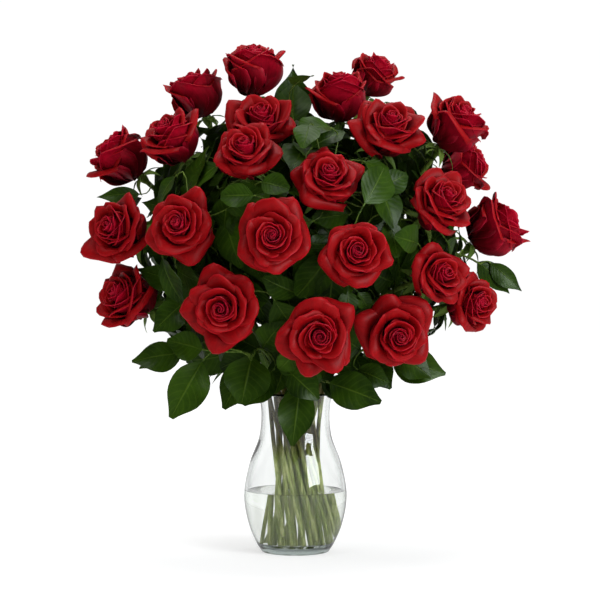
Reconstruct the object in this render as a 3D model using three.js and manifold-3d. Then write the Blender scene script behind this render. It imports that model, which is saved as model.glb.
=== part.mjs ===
// Two dozen red roses with leafy sprays, standing in a clear glass vase of water.
// Millimetres, +Z up. The origin is the middle of the vase's foot, on the table, and -Y is the front.
import * as THREE from "three";
import Module from "manifold-3d";
import { mergeVertices } from "three/addons/utils/BufferGeometryUtils.js";

const wasm = await Module();
wasm.setup();

// ---- Driving dimensions ----

// Vase: a pear-shaped body with a narrow neck and a flared, rounded lip.
const VASE_HEIGHT = 191;
const VASE_OUTLINE = [[45, 7], [56, 33], [61.5, 68], [55, 105], [43.5, 137], [41, 165], [43.6, 188]];
const VASE_SEGMENTS = 24;
const OUTLINE_STEPS = 7;
const FOOT_RADIUS = 40;
const WALL = 3.5;
const FLOOR_HEIGHT = 10;
const FLOOR_RADIUS = 35;
const WATER_LEVEL = 73;
const TOUCHING_GAP = 0.3;

// Stems: they cross in the neck, and stand on the vase's floor or, past its flat part, on the slope of the
// bowl. A stem that leans over by the full lean, in radians, starts at the edge of the circle that the stems
// fill in the neck.
const STEM_RADIUS = 3;
const STEM_SIDES = 5;
const STEM_STEPS = 7;
const STEM_HOLE_GAP = 0.45;
const STEM_HOLE_BELOW = 6;
const SPRAY_TIP_RADIUS = 2;
const NECK_HEIGHT = 188;
const FOOT_HEIGHT = 11.4;
const NECK_CIRCLE = 32.5;
const NECK_SPACING = 10.2;
const NECK_ROUNDS = 400;
const NECK_PUSH = 0.25;
const FULL_LEAN = 1.2;
const STEM_TWIST = THREE.MathUtils.degToRad(80);
const FOOT_SPREAD = 1.3;
const FLAT_FLOOR = 31.5;
const BOWL_SLOPE = 1.2;
const STEM_BEND = 0.4;

// Roses: middle of the bloom x, y, z, the way that it faces (turn from the front, lift above level),
// its diameter, and how far it has opened.
const ROSES = [
  [-52, 35, 583, -20, 76, 90, 0.75],
  [-122, 70, 557, -60, 66, 82, 0.7],
  [98, 80, 582, 50, 60, 74, 0.8],
  [52, 8, 547, -10, 68, 86, 0.9],
  [-41, -28, 510, -5, 45, 92, 1],
  [-56, -104, 469, -10, 33, 84, 0.95],
  [-146, -30, 492, -50, 45, 86, 0.9],
  [-212, 20, 474, -75, 42, 88, 0.85],
  [108, -60, 501, 15, 40, 92, 1],
  [190, -24, 509, 60, 52, 88, 0.85],
  [208, 55, 466, 75, 22, 78, 0.85],
  [36, -130, 436, 5, 28, 90, 1],
  [165, -95, 412, 35, 33, 88, 1],
  [241, 12, 388, 82, 38, 94, 0.95],
  [-205, -60, 382, -35, 14, 92, 0.95],
  [-130, -125, 384, -12, 10, 88, 1],
  [-24, -175, 369, -3, 9, 92, 1],
  [66, -165, 353, 8, 7, 84, 0.9],
  [-197, -46, 303, -52, 22, 88, 0.8],
  [-79, -150, 292, -10, -4, 96, 1],
  [26, -172, 263, 3, -5, 94, 1],
  [114, -130, 262, 10, -5, 94, 1],
  [161, -112, 329, 35, 10, 78, 0.95],
  [205, -60, 297, 42, 5, 80, 0.95],
];
const HEART = 0.36;

// The cup under a bloom: how far each ring is below the bloom, and its radius. The sepals grow between the
// second ring and the third, and their tips are placed by shares of the bloom's diameter.
const CUP_RINGS = [[13, 3.2], [7.2, 5.8], [5.6, 6.3], [TOUCHING_GAP, 6.3]];
const SEPALS_FROM = 1;
const SEPAL_REACH = 0.32;
const SEPAL_DROP = 0.2;

// Sprays: where the last leaf grows, the way that it points, and that leaf's length and width.
const SPRAYS = [
  [-140, -46, 241, -70, -14, 58, 34],
  [-50, -108, 232, -30, -62, 66, 54],
  [4, -66, 206, 5, -78, 62, 34],
  [38, -74, 206, 62, -12, 66, 38],
  [118, -82, 236, 70, -22, 58, 40],
  [220, -22, 343, 75, -35, 58, 34],
  [-3, 20, 515, 180, 84, 70, 44],
  [-108, 30, 425, -60, 60, 66, 38],
  [10, 110, 390, 180, 45, 84, 46],
  [118, 30, 430, 60, 60, 66, 38],
];

// Other leaves grow where a stem has a step of its bend.
const SPRAY_LEAF_STEPS = [3, 4, 5, 6];
const SPRAY_LEAF = { length: 78, width: 40 };
const ROSE_LEAF_STEPS = [5];
const ROSE_LEAF = { length: 84, width: 62 };

// Leaves: their shape, and what keeps them clear of everything else. Each is tried at random turns and
// tilts, a little smaller every time, until points spread over it are clear of blooms, stems, leaves and
// vase, and inside the bouquet's reach. They spread outwards from the bouquet's core.
const LEAF_TRIES = 60;
const LEAF_TILT = [0.8, 0.8];
const SMALLEST_LEAF = 0.6;
const BIG_LEAF_ROWS = [0.18, 0.43, 0.74];
const LEAF_ROWS = [0.3, 0.68];
const LEAF_TEST_ROWS = [0.25, 0.42, 0.6, 0.8, 1];
const OVATE_POWER = 0.75;
const LEAF_THICKNESS = 0.8;
const LEAF_SUNK = 8;
const LAST_LEAF_LIGHT = [0, -1, 0.8];
const LEAF_DROOP = 0.55;
const LEAF_FOLD = 0.22;
const CLEAR_OF_BLOOM = 4;
const CLEAR_OF_STEM = 12;
const CLEAR_OF_LEAF = 16;
const CLEAR_OF_VASE = 54;
const CLEAR_ABOVE_VASE = 8;
const STEM_TEST_POINTS = 40;
const SEED_STEP = 1000;
const BOUQUET_CORE = [5, 40, 270];
const BOUQUET_MIDDLE = [5, -25, 385];
const BOUQUET_REACH = [245, 165, 205];

// Blooms: two whorls of five petals round a heart of petals that are still folded. The thickness of a petal
// and the height of its root are in millimetres, and all the rest are shares of the bloom's radius or of the
// petal's length, or degrees. A ring of the heart has a radius, a height and the size of its waves.
const PETAL_THICKNESS = 0.9;
const PETAL_ROOT = 1.4;
const PETALS_IN_WHORL = 5;
const PETAL_BROADEST = 0.62;
const PETAL_ROOT_WIDTH = 0.15;
const PINWHEEL_FROM = 0.3;
const HEART_COLUMNS = 2 * PETALS_IN_WHORL;
const HEART_RIM = [0.46, 1.12, 0.07];
const HEART_CROWN = [0.24, 1.28, -0.07];
const HEART_MIDDLE = 1.16;
const HEART_WAVE_OUT = 0.7;
const OUTER_WHORL = {
  root: [0.27, 0.15], length: 1.02, width: 0.9, cup: 0.8, pinwheel: 0.09, rows: [0.45, 0.82],
  lean: [50, 26, 135], closed: [34, 16, -10], firstColumn: 0,
};
const INNER_WHORL = {
  root: [0.34, 0.34], length: 0.95, width: 0.8, cup: 0.6, pinwheel: 0.08, rows: [0.68],
  lean: [38, 4, 70], closed: [24, 2, -30], firstColumn: 1,
};

// ---- Small helpers ----

const radians = THREE.MathUtils.degToRad;
const vector = (x, y, z) => new THREE.Vector3(x, y, z);
const GOLDEN_ANGLE = radians(137.5);

// A steady row of random numbers from 0 to 1.
function randomRow(seed) {
  let state = seed;
  return () => {
    state = (state * 1664525 + 1013904223) % 4294967296;
    return state / 4294967296;
  };
}

// The direction that a bloom or leaf faces.
function facing(turn, lift) {
  const level = Math.cos(radians(lift));
  return vector(Math.sin(radians(turn)) * level, -Math.cos(radians(turn)) * level, Math.sin(radians(lift)));
}

// ---- Closed solids and their unions ----

function solidFrom(geometry) {
  geometry.deleteAttribute("normal");
  geometry.deleteAttribute("uv");
  const merged = mergeVertices(geometry, 1e-4);
  return new wasm.Manifold(new wasm.Mesh({
    numProp: 3,
    vertProperties: new Float32Array(merged.attributes.position.array),
    triVerts: new Uint32Array(merged.index.array),
  }));
}

function geometryOf(solid) {
  const mesh = solid.getMesh();
  const geometry = new THREE.BufferGeometry();
  geometry.setAttribute("position", new THREE.BufferAttribute(mesh.vertProperties, 3));
  geometry.setIndex(new THREE.BufferAttribute(mesh.triVerts, 1));
  geometry.computeVertexNormals();
  return geometry;
}

const fuse = (solids) => solids.reduce((all, solid) => all.add(solid));

// A lathe about +Z from an outline of [radius, height] points.
function turned(outline, segments) {
  const geometry = new THREE.LatheGeometry(outline.map(([r, z]) => new THREE.Vector2(r, z)), segments);
  geometry.rotateX(Math.PI / 2);
  return geometry;
}

// Triangles between two rows of points, which may differ in number.
function zipRows(first, firstCount, second, secondCount) {
  const triangles = [];
  let i = 0;
  let j = 0;
  while (i < firstCount - 1 || j < secondCount - 1) {
    const nextFirst = i < firstCount - 1 ? (i + 1) / (firstCount - 1) : Infinity;
    const nextSecond = j < secondCount - 1 ? (j + 1) / (secondCount - 1) : Infinity;
    if (nextFirst <= nextSecond) {
      triangles.push([first + i, first + i + 1, second + j]);
      i += 1;
    } else {
      triangles.push([first + i, second + j + 1, second + j]);
      j += 1;
    }
  }
  return triangles;
}

// A sheet of triangles given a thickness, with alike triangles on both faces and a rim round its edge. Its
// front is the side that its triangles turn anticlockwise on. Where a root is given, the sheet's first
// points are the root's corners instead, and that end stays open.
function thicken(points, triangles, thickness, root = { front: [], back: [] }) {
  const normals = points.map(() => vector(0, 0, 0));
  const edges = new Set();
  for (const [a, b, c] of triangles) {
    const normal = points[b].clone().sub(points[a]).cross(points[c].clone().sub(points[a]));
    [a, b, c].forEach((corner) => normals[corner].add(normal));
    [[a, b], [b, c], [c, a]].forEach(([from, to]) => edges.add(`${from},${to}`));
  }
  const shift = normals.map((normal) => normal.normalize().multiplyScalar(thickness / 2));
  const front = points.map((point, k) => root.front[k] ?? point.clone().add(shift[k]));
  const back = points.map((point, k) => root.back[k] ?? point.clone().sub(shift[k]));
  const faces = [];
  for (const [a, b, c] of triangles) {
    faces.push(front[a], front[b], front[c], back[c], back[b], back[a]);
    for (const [from, to] of [[a, b], [b, c], [c, a]]) {
      const isRoot = from < root.front.length && to < root.front.length;
      if (!isRoot && !edges.has(`${to},${from}`)) {
        faces.push(front[to], front[from], back[from], front[to], back[from], back[to]);
      }
    }
  }
  return faces;
}

// A blade from rows of points, each row zipped to the next.
function blade(rows, thickness, root) {
  const triangles = [];
  let start = 0;
  for (let k = 0; k + 1 < rows.length; k += 1) {
    const next = start + rows[k].length;
    triangles.push(...zipRows(start, rows[k].length, next, rows[k + 1].length));
    start = next;
  }
  return thicken(rows.flat(), triangles, thickness, root);
}

// The two triangles of a four-cornered facet.
const facet = (a, b, c, d) => [a, b, c, a, c, d];

// A facet drawn out to a point.
const drawnOut = (a, b, c, d, tip) => [a, b, tip, b, c, tip, c, d, tip, d, a, tip];

// Facets from ring to ring, closed by a fan at both ends. A facet that "keep" turns down is left open.
function ringFacets(rings, bottom, top, keep = () => true) {
  const count = rings[0].length;
  const faces = [];
  for (let k = 0; k < count; k += 1) {
    const next = (k + 1) % count;
    faces.push(bottom, rings[0][next], rings[0][k], rings.at(-1)[k], rings.at(-1)[next], top);
    for (let ring = 0; ring + 1 < rings.length; ring += 1) {
      if (keep(ring, k)) {
        faces.push(...facet(rings[ring][k], rings[ring][next], rings[ring + 1][next], rings[ring + 1][k]));
      }
    }
  }
  return faces;
}

const geometryFrom = (faces) => mergeVertices(new THREE.BufferGeometry().setFromPoints(faces), 1e-4);

// ---- Vase and water ----

const outline = new THREE.SplineCurve(VASE_OUTLINE.map(([r, z]) => new THREE.Vector2(r, z)));

// The wall's outline, moved inwards by an inset.
function wallLine(inset) {
  return outline.getPoints(OUTLINE_STEPS).map((point, k) => {
    const along = outline.getTangent(k / OUTLINE_STEPS);
    return [point.x - along.y * inset, point.y + along.x * inset];
  });
}

function vaseGeometry() {
  const outside = [[0, 0], [FOOT_RADIUS, 0], ...wallLine(0)];
  const lip = [[VASE_OUTLINE.at(-1)[0] - WALL / 2, VASE_HEIGHT]];
  const inside = wallLine(WALL).slice(1).reverse();
  const floor = [[FLOOR_RADIUS, FLOOR_HEIGHT], [0, FLOOR_HEIGHT]];
  return turned([...outside, ...lip, ...inside, ...floor], VASE_SEGMENTS);
}

// Water up to its level, a small gap inside the glass, with a plain hole for each stem.
function waterGeometry(stems) {
  const base = FLOOR_HEIGHT + TOUCHING_GAP;
  const wall = wallLine(WALL + TOUCHING_GAP).slice(1);
  const below = wall.filter(([, z]) => z < WATER_LEVEL);
  const [r0, z0] = below.at(-1);
  const [r1, z1] = wall[below.length];
  const edge = [r0 + (r1 - r0) * (WATER_LEVEL - z0) / (z1 - z0), WATER_LEVEL];
  const profile = [[0, base], [FLOOR_RADIUS - TOUCHING_GAP, base], ...below, edge, [0, WATER_LEVEL]];
  const holes = stems.map(stemHole);
  return geometryOf(solidFrom(turned(profile, VASE_SEGMENTS)).subtract(fuse(holes)));
}

// ---- Layout of the stems ----

// Where each stem ends, and the way that it points there.
const stemEnds = [
  ...ROSES.map(([x, y, z, turn, lift, diameter]) => {
    const along = facing(turn, lift);
    return { point: vector(x, y, z).addScaledVector(along, -HEART * diameter), along };
  }),
  ...SPRAYS.map(([x, y, z, turn, lift]) => ({ point: vector(x, y, z), along: facing(turn, lift) })),
];

// Stems in the neck: each starts on the side that it leans to, then they push each other apart.
function neckPattern() {
  let places = stemEnds.map(({ point }) => {
    const reach = Math.hypot(point.x, point.y);
    const lean = Math.atan2(reach, point.z - NECK_HEIGHT) / FULL_LEAN;
    return [point.x / reach * NECK_CIRCLE * lean, point.y / reach * NECK_CIRCLE * lean];
  });
  for (let round = 0; round < NECK_ROUNDS; round += 1) {
    const pushes = places.map(() => [0, 0]);
    for (let i = 0; i < places.length; i += 1) {
      for (let j = 0; j < i; j += 1) {
        const dx = places[i][0] - places[j][0];
        const dy = places[i][1] - places[j][1];
        const distance = Math.hypot(dx, dy);
        if (distance < NECK_SPACING) {
          const share = NECK_PUSH * (NECK_SPACING - distance) / distance;
          pushes[i][0] += dx * share;
          pushes[i][1] += dy * share;
          pushes[j][0] -= dx * share;
          pushes[j][1] -= dy * share;
        }
      }
    }
    places = places.map(([x, y], i) => {
      const moved = [x + pushes[i][0], y + pushes[i][1]];
      const scale = Math.min(1, NECK_CIRCLE / Math.hypot(...moved));
      return [moved[0] * scale, moved[1] * scale];
    });
  }
  return places;
}

// A stem: straight from its foot to the neck, then bent over to its bloom or last leaf.
class StemPath extends THREE.Curve {
  constructor([x, y], { point, along }) {
    super();
    const cos = Math.cos(STEM_TWIST) * FOOT_SPREAD;
    const sin = Math.sin(STEM_TWIST) * FOOT_SPREAD;
    const upSlope = BOWL_SLOPE * Math.max(0, Math.hypot(x, y) * FOOT_SPREAD - FLAT_FLOOR);
    this.foot = vector(x * cos - y * sin, x * sin + y * cos, FOOT_HEIGHT + upSlope);
    this.neck = vector(x, y, NECK_HEIGHT);
    this.rise = this.neck.clone().sub(this.foot).normalize();
    const handle = STEM_BEND * point.distanceTo(this.neck);
    const leaving = this.neck.clone().addScaledVector(this.rise, handle);
    const arriving = point.clone().addScaledVector(along, -handle);
    this.bend = new THREE.CubicBezierCurve3(this.neck, leaving, arriving, point);
  }

  getPoint(t) {
    const step = t * STEM_STEPS;
    if (step < 1) {
      return this.foot.clone().lerp(this.neck, step);
    }
    return this.bend.getPoint((step - 1) / (STEM_STEPS - 1));
  }

  // Rings fall where the stem bends, not at even distances.
  getUtoTmapping(u) {
    return u;
  }
}

const neckPlaces = neckPattern();
const stemPaths = stemEnds.map((end, k) => new StemPath(neckPlaces[k], end));

// Rings of points round a stem. Each ring has a middle, a radius, and the frame of one of the path's steps.
function stemRings(frames, rings) {
  return rings.map(({ middle, radius, step }) => Array.from({ length: STEM_SIDES }, (_, k) => {
    const angle = 2 * Math.PI * k / STEM_SIDES;
    return middle.clone()
      .addScaledVector(frames.normals[step], radius * Math.cos(angle))
      .addScaledVector(frames.binormals[step], radius * Math.sin(angle));
  }));
}

// The rings of a stem up to its last step, which differs between roses and sprays.
function stemBody(path) {
  return Array.from({ length: STEM_STEPS }, (_, step) => (
    { middle: path.getPoint(step / STEM_STEPS), radius: STEM_RADIUS, step }));
}

// The room that a stem takes in the water: its straight part, a little wider and longer.
function stemHole(path) {
  const radius = STEM_RADIUS + STEM_HOLE_GAP / Math.cos(Math.PI / STEM_SIDES);
  const ends = [path.foot.clone().addScaledVector(path.rise, -STEM_HOLE_BELOW), path.neck];
  const frames = path.computeFrenetFrames(STEM_STEPS);
  const rings = stemRings(frames, ends.map((middle) => ({ middle, radius, step: 0 })));
  return solidFrom(geometryFrom(ringFacets(rings, ends[0], ends[1])));
}

function sprayStem(path) {
  const tip = path.getPoint(1);
  const rings = stemRings(path.computeFrenetFrames(STEM_STEPS), [
    ...stemBody(path),
    { middle: tip, radius: SPRAY_TIP_RADIUS, step: STEM_STEPS },
  ]);
  return solidFrom(geometryFrom(ringFacets(rings, path.foot, tip)));
}

// The end of a rose's stem swells to a cup under the bloom, and a narrow facet on each side of the cup is
// drawn out into a sepal that bends away from the bloom.
function roseStem(k) {
  const path = stemPaths[k];
  const { point, along } = stemEnds[k];
  const cup = CUP_RINGS.map(([depth, radius]) => (
    { middle: point.clone().addScaledVector(along, -depth), radius, step: STEM_STEPS }));
  const rings = stemRings(path.computeFrenetFrames(STEM_STEPS), [...stemBody(path), ...cup]);
  const sepalBand = STEM_STEPS + SEPALS_FROM;
  const faces = ringFacets(rings, path.foot, cup.at(-1).middle, (ring) => ring !== sepalBand);
  for (let side = 0; side < STEM_SIDES; side += 1) {
    const next = (side + 1) % STEM_SIDES;
    const [below, above] = rings.slice(sepalBand, sepalBand + 2);
    const corners = [below[side], below[next], above[next], above[side]];
    const out = below[side].clone().lerp(below[next], 0.5).sub(cup[SEPALS_FROM].middle).normalize();
    const tip = point.clone()
      .addScaledVector(out, SEPAL_REACH * ROSES[k][5])
      .addScaledVector(along, -SEPAL_DROP * ROSES[k][5]);
    faces.push(...drawnOut(...corners, tip));
  }
  return solidFrom(geometryFrom(faces));
}

// ---- Blooms ----

// The place of a bloom: its axis along its facing, its bottom on the stem's end, each spun further round.
function bloomPlace(k) {
  const { point, along } = stemEnds[k];
  const side = vector(0, 0, 1).cross(along).normalize();
  const up = along.clone().cross(side);
  const place = new THREE.Matrix4().makeBasis(side, up, along).setPosition(point);
  return place.multiply(new THREE.Matrix4().makeRotationZ(k * GOLDEN_ANGLE));
}

// The width of a petal along its length, as a share of its greatest: narrow at the root, broadest above the
// middle, rounded at the tip.
function petalWidth(v) {
  if (v < PETAL_BROADEST) {
    return THREE.MathUtils.lerp(PETAL_ROOT_WIDTH, 1, Math.sin(Math.PI / 2 * v / PETAL_BROADEST));
  }
  return Math.sqrt(Math.max(0, 1 - ((v - PETAL_BROADEST) / (1 - PETAL_BROADEST)) ** 2));
}

// A point of a petal: u from edge to edge, v from root to tip. The petal rises in one arc, then curls over
// in a second one, and it is cupped round the bloom's axis. Its angles from that axis are given at the root,
// the middle and the tip, for an open bloom and for a closed one.
function petalPoint(u, v, angle, radius, whorl, open) {
  const leanOf = (lean, k) => radians(THREE.MathUtils.lerp(whorl.closed[k], lean, open));
  const [root, middle, tip] = whorl.lean.map(leanOf);
  const half = whorl.length * radius / 2;
  const rise = middle - root;
  const over = tip - middle;
  const first = root + rise * Math.min(2 * v, 1);
  const second = middle + over * Math.max(2 * v - 1, 0);
  const out = whorl.root[0] * radius
    + half / rise * (Math.cos(root) - Math.cos(first))
    + half / over * (Math.cos(middle) - Math.cos(second));
  const height = whorl.root[1] * radius
    + half / rise * (Math.sin(first) - Math.sin(root))
    + half / over * (Math.sin(second) - Math.sin(middle));
  const cup = whorl.cup * radius;
  const across = u * petalWidth(v) * whorl.width * radius / 2 / cup;
  const pinwheel = whorl.pinwheel * radius * u * Math.min(1, v / PINWHEEL_FROM);
  const inwards = cup * (1 - Math.cos(across)) - pinwheel;
  return vector(out - inwards, cup * Math.sin(across), height).applyAxisAngle(vector(0, 0, 1), angle);
}

// The rings of the heart: two narrow bands that the petals grow from, then a scalloped rim and the middle.
function heartRings(radius) {
  const band = ([r, z]) => [[r, z, 0], [r, z + PETAL_ROOT / radius, 0]];
  const bands = [...band(OUTER_WHORL.root), ...band(INNER_WHORL.root)];
  const columns = Array.from({ length: HEART_COLUMNS }, (_, column) => column);
  return [...bands, HEART_RIM, HEART_CROWN].map(([r, z, wave]) => columns.map((column) => {
    const angle = 2 * Math.PI * column / HEART_COLUMNS;
    const lobe = column % 2 === 0 ? wave : -wave;
    const out = (r + HEART_WAVE_OUT * lobe) * radius;
    return vector(out * Math.cos(angle), out * Math.sin(angle), (z + lobe) * radius);
  }));
}

function bloomGeometry(diameter, open) {
  const radius = diameter / 2;
  const rings = heartRings(radius);
  const bandOf = new Map([[0, OUTER_WHORL], [2, INNER_WHORL]]);
  const growsPetal = (ring, column) => bandOf.has(ring) && column % 2 === bandOf.get(ring).firstColumn;
  const middle = vector(0, 0, HEART_MIDDLE * radius);
  const faces = ringFacets(rings, vector(0, 0, 0), middle, (ring, column) => !growsPetal(ring, column));
  for (const [ring, whorl] of bandOf) {
    for (let petal = 0; petal < PETALS_IN_WHORL; petal += 1) {
      const column = 2 * petal + whorl.firstColumn;
      const next = (column + 1) % HEART_COLUMNS;
      const angle = 2 * Math.PI * (column + 0.5) / HEART_COLUMNS;
      const root = {
        front: [rings[ring][column], rings[ring][next]],
        back: [rings[ring + 1][column], rings[ring + 1][next]],
      };
      const rootMiddles = root.front.map((point, k) => point.clone().lerp(root.back[k], 0.5));
      const place = (u, v) => petalPoint(u, v, angle, radius, whorl, open);
      const rows = whorl.rows.map((v) => [-1, 0, 1].map((u) => place(u, v)));
      const tip = [place(0, 1)];
      faces.push(...blade([rootMiddles, ...rows, tip], PETAL_THICKNESS, root));
    }
  }
  return geometryFrom(faces);
}

// ---- Leaves ----

// The frame of a leaf, with its upper face turned to the light outside the bouquet.
function leafFrame(origin, along, light) {
  const face = light.clone().addScaledVector(along, -light.dot(along)).normalize();
  return { origin, along, face, across: along.clone().cross(face) };
}

// A leaf that leaves its stem sideways: turned round the way out of the bouquet, and tilted from it.
function sideLeafFrame(path, step, turn, tilt) {
  const origin = path.getPoint(step / STEM_STEPS);
  const out = origin.clone().sub(vector(...BOUQUET_CORE)).normalize();
  const side = vector(out.y, -out.x, 0).normalize().applyAxisAngle(out, turn);
  const along = side.multiplyScalar(Math.sin(tilt)).addScaledVector(out, Math.cos(tilt));
  return leafFrame(origin, along, out);
}

// A point of a leaf: x along the midrib and y across it, both in millimetres, on a midrib that droops.
function leafPoint({ origin, along, face, across }, length, x, y) {
  const bend = LEAF_DROOP * x / length;
  const reach = length / LEAF_DROOP;
  const fold = LEAF_FOLD * Math.abs(y);
  return origin.clone()
    .addScaledVector(along, reach * Math.sin(bend) + fold * Math.sin(bend))
    .addScaledVector(face, -reach * (1 - Math.cos(bend)) + fold * Math.cos(bend))
    .addScaledVector(across, y);
}

// The width of an ovate leaf along its length, as a share of its greatest.
const ovate = (share) => Math.sin(Math.PI * share ** OVATE_POWER);

// Points that stand for a leaf when it is tested against its neighbours.
function leafSamples(frame, length, width) {
  const samples = [];
  for (const share of LEAF_TEST_ROWS) {
    for (const side of [-1, 0, 1]) {
      samples.push(leafPoint(frame, length, share * length, side * ovate(share) * width / 2));
    }
  }
  return samples;
}

const stemSamples = stemPaths.map((path) => [path.foot, ...path.bend.getPoints(STEM_TEST_POINTS)]);
const bloomSpheres = ROSES.map(([x, y, z, , , diameter]) => new THREE.Sphere(vector(x, y, z), diameter / 2));
const takenByLeaves = [];

function isClear(samples, ownStem) {
  const otherStems = stemSamples.filter((_, stem) => stem !== ownStem).flat();
  return samples.every((point) => {
    const spread = point.clone().sub(vector(...BOUQUET_MIDDLE)).divide(vector(...BOUQUET_REACH)).length();
    const offVase = point.z > VASE_HEIGHT + CLEAR_ABOVE_VASE || Math.hypot(point.x, point.y) > CLEAR_OF_VASE;
    return spread < 1 && offVase
      && bloomSpheres.every((sphere) => sphere.distanceToPoint(point) > CLEAR_OF_BLOOM)
      && otherStems.every((place) => point.distanceTo(place) > CLEAR_OF_STEM)
      && takenByLeaves.every((place) => point.distanceTo(place) > CLEAR_OF_LEAF);
  });
}

// Tries a leaf at a few turns, tilts and sizes, and keeps the first one that is clear of everything.
function placeLeaf(stem, step, slot, { length, width }) {
  const random = randomRow(SEED_STEP * stem + slot + 1);
  for (let attempt = 0; attempt < LEAF_TRIES; attempt += 1) {
    const turn = random() * 2 * Math.PI;
    const tilt = LEAF_TILT[0] + random() * LEAF_TILT[1];
    const size = THREE.MathUtils.lerp(1, SMALLEST_LEAF, attempt / LEAF_TRIES);
    const frame = sideLeafFrame(stemPaths[stem], step, turn, tilt);
    const samples = leafSamples(frame, length * size, width * size);
    if (isClear(samples, stem)) {
      takenByLeaves.push(...samples);
      return { frame, length: length * size, width: width * size, rows: LEAF_ROWS };
    }
  }
  return null;
}

// The last leaf of a spray goes on from the stem, with its upper face turned up or to the front.
function lastLeaf(k) {
  const [, , , , , length, width] = SPRAYS[k];
  const { point, along } = stemEnds[ROSES.length + k];
  const origin = point.clone().addScaledVector(along, -LEAF_SUNK);
  const frame = leafFrame(origin, along, vector(...LAST_LEAF_LIGHT));
  takenByLeaves.push(...leafSamples(frame, length, width));
  return { frame, length, width, rows: BIG_LEAF_ROWS };
}

// An ovate leaf that narrows to its stalk and to a pointed tip.
function ovateLeaf({ frame, length, width, rows }) {
  const edge = (share) => ovate(share) * width / 2;
  const across = (share, side) => leafPoint(frame, length, share * length, side * edge(share));
  const row = (share) => [-1, 0, 1].map((side) => across(share, side));
  const ends = [0, length].map((x) => [leafPoint(frame, length, x, 0)]);
  return solidFrom(geometryFrom(blade([ends[0], ...rows.map(row), ends[1]], LEAF_THICKNESS)));
}

// A rose leaf: three pointed leaflets cut to their stalk in one arched blade.
const ROSE_LEAF_EDGE = [[21, 1.4], [19, 15], [30, 31], [36, 15], [33, 1.4], [44, 1.4], [56, 15]];

function roseLeaf({ frame, length }) {
  const side = (way) => ROSE_LEAF_EDGE.map(([x, y]) => new THREE.Vector2(x, way * y));
  const ends = [0, ROSE_LEAF.length].map((x) => new THREE.Vector2(x, 0));
  const edge = [ends[0], ...side(-1), ends[1], ...side(1).reverse()];
  const triangles = THREE.ShapeUtils.triangulateShape(edge, []);
  const scale = length / ROSE_LEAF.length;
  const points = edge.map(({ x, y }) => leafPoint(frame, length, x * scale, y * scale));
  return solidFrom(geometryFrom(thicken(points, triangles, LEAF_THICKNESS)));
}

// ---- Nodes ----

const clear = { roughness: 0.05, metalness: 0, transparent: true };
const grown = { metalness: 0, flatShading: true };
const materials = {
  glass: new THREE.MeshStandardMaterial({ ...clear, color: 0xdfe9ea, opacity: 0.35 }),
  water: new THREE.MeshStandardMaterial({ ...clear, color: 0xd3e2dc, opacity: 0.4 }),
  petals: new THREE.MeshStandardMaterial({ ...grown, color: 0xa80f22, roughness: 0.75 }),
  roseGreen: new THREE.MeshStandardMaterial({ ...grown, color: 0x6f8a45, roughness: 0.6 }),
  foliage: new THREE.MeshStandardMaterial({ ...grown, color: 0x2f5226, roughness: 0.45 }),
};

const bouquet = new THREE.Group();

function addNode(name, geometry, material) {
  const mesh = new THREE.Mesh(geometry, material);
  mesh.name = name;
  bouquet.add(mesh);
  return mesh;
}

const numbered = (name, k) => `${name}_${String(k + 1).padStart(2, "0")}`;

addNode("vase", vaseGeometry(), materials.glass);
addNode("water", waterGeometry(stemPaths), materials.water);

ROSES.forEach(([, , , , , diameter, open], k) => {
  const bloom = addNode(numbered("bloom", k), bloomGeometry(diameter, open), materials.petals);
  bloom.applyMatrix4(bloomPlace(k));
});

const lastLeaves = SPRAYS.map((_, k) => lastLeaf(k));

SPRAYS.forEach((_, k) => {
  const stem = ROSES.length + k;
  const others = SPRAY_LEAF_STEPS.map((step, slot) => placeLeaf(stem, step, slot, SPRAY_LEAF));
  const leaves = [lastLeaves[k], ...others].filter(Boolean);
  const solids = [sprayStem(stemPaths[stem]), ...leaves.map(ovateLeaf)];
  addNode(numbered("spray", k), geometryOf(fuse(solids)), materials.foliage);
});

ROSES.forEach((_, k) => {
  const leaves = ROSE_LEAF_STEPS.map((step, slot) => placeLeaf(k, step, slot, ROSE_LEAF));
  const solids = [roseStem(k), ...leaves.filter(Boolean).map(roseLeaf)];
  addNode(numbered("rose_stem", k), geometryOf(fuse(solids)), materials.roseGreen);
});

export default bouquet;
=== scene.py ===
# %% [markdown]
# # Two dozen red roses in a glass vase
# The solids of the vase, the stems, the blooms and the leafy sprays are already there as a fixed frame. This
# lesson dresses them: each bloom grows all its petals, each stem gets prickles, sepals and veined leaves, and
# the vase becomes clear glass with water in it.

# %% The frame
import math

import bmesh
import bpy
import numpy as np
from mathutils import Matrix


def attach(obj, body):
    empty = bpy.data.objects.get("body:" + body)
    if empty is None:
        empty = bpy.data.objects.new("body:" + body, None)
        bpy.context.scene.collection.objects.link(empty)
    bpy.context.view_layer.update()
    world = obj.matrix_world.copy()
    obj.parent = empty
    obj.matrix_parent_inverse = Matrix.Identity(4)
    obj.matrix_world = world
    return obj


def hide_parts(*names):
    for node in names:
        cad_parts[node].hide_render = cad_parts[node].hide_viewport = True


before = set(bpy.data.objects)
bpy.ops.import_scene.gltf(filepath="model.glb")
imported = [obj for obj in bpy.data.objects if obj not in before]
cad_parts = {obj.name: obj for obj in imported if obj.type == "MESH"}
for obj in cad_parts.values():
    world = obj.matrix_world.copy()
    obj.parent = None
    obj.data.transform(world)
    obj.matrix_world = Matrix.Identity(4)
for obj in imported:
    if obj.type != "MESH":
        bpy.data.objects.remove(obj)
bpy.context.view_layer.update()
print("solids in the frame:", len(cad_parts))

# %% [markdown]
# ## Camera
# The camera stands level, two metres in front of the vase. A long lens keeps the vase's sides upright.
# Its sensor is square on the picture, so 100 mm of lens sees 0.72 m at the middle of the bouquet.

# %% Camera
CAMERA_PLACE = (0.0055, -2.0, 0.301)
LENS = 100
SENSOR = 36

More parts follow.
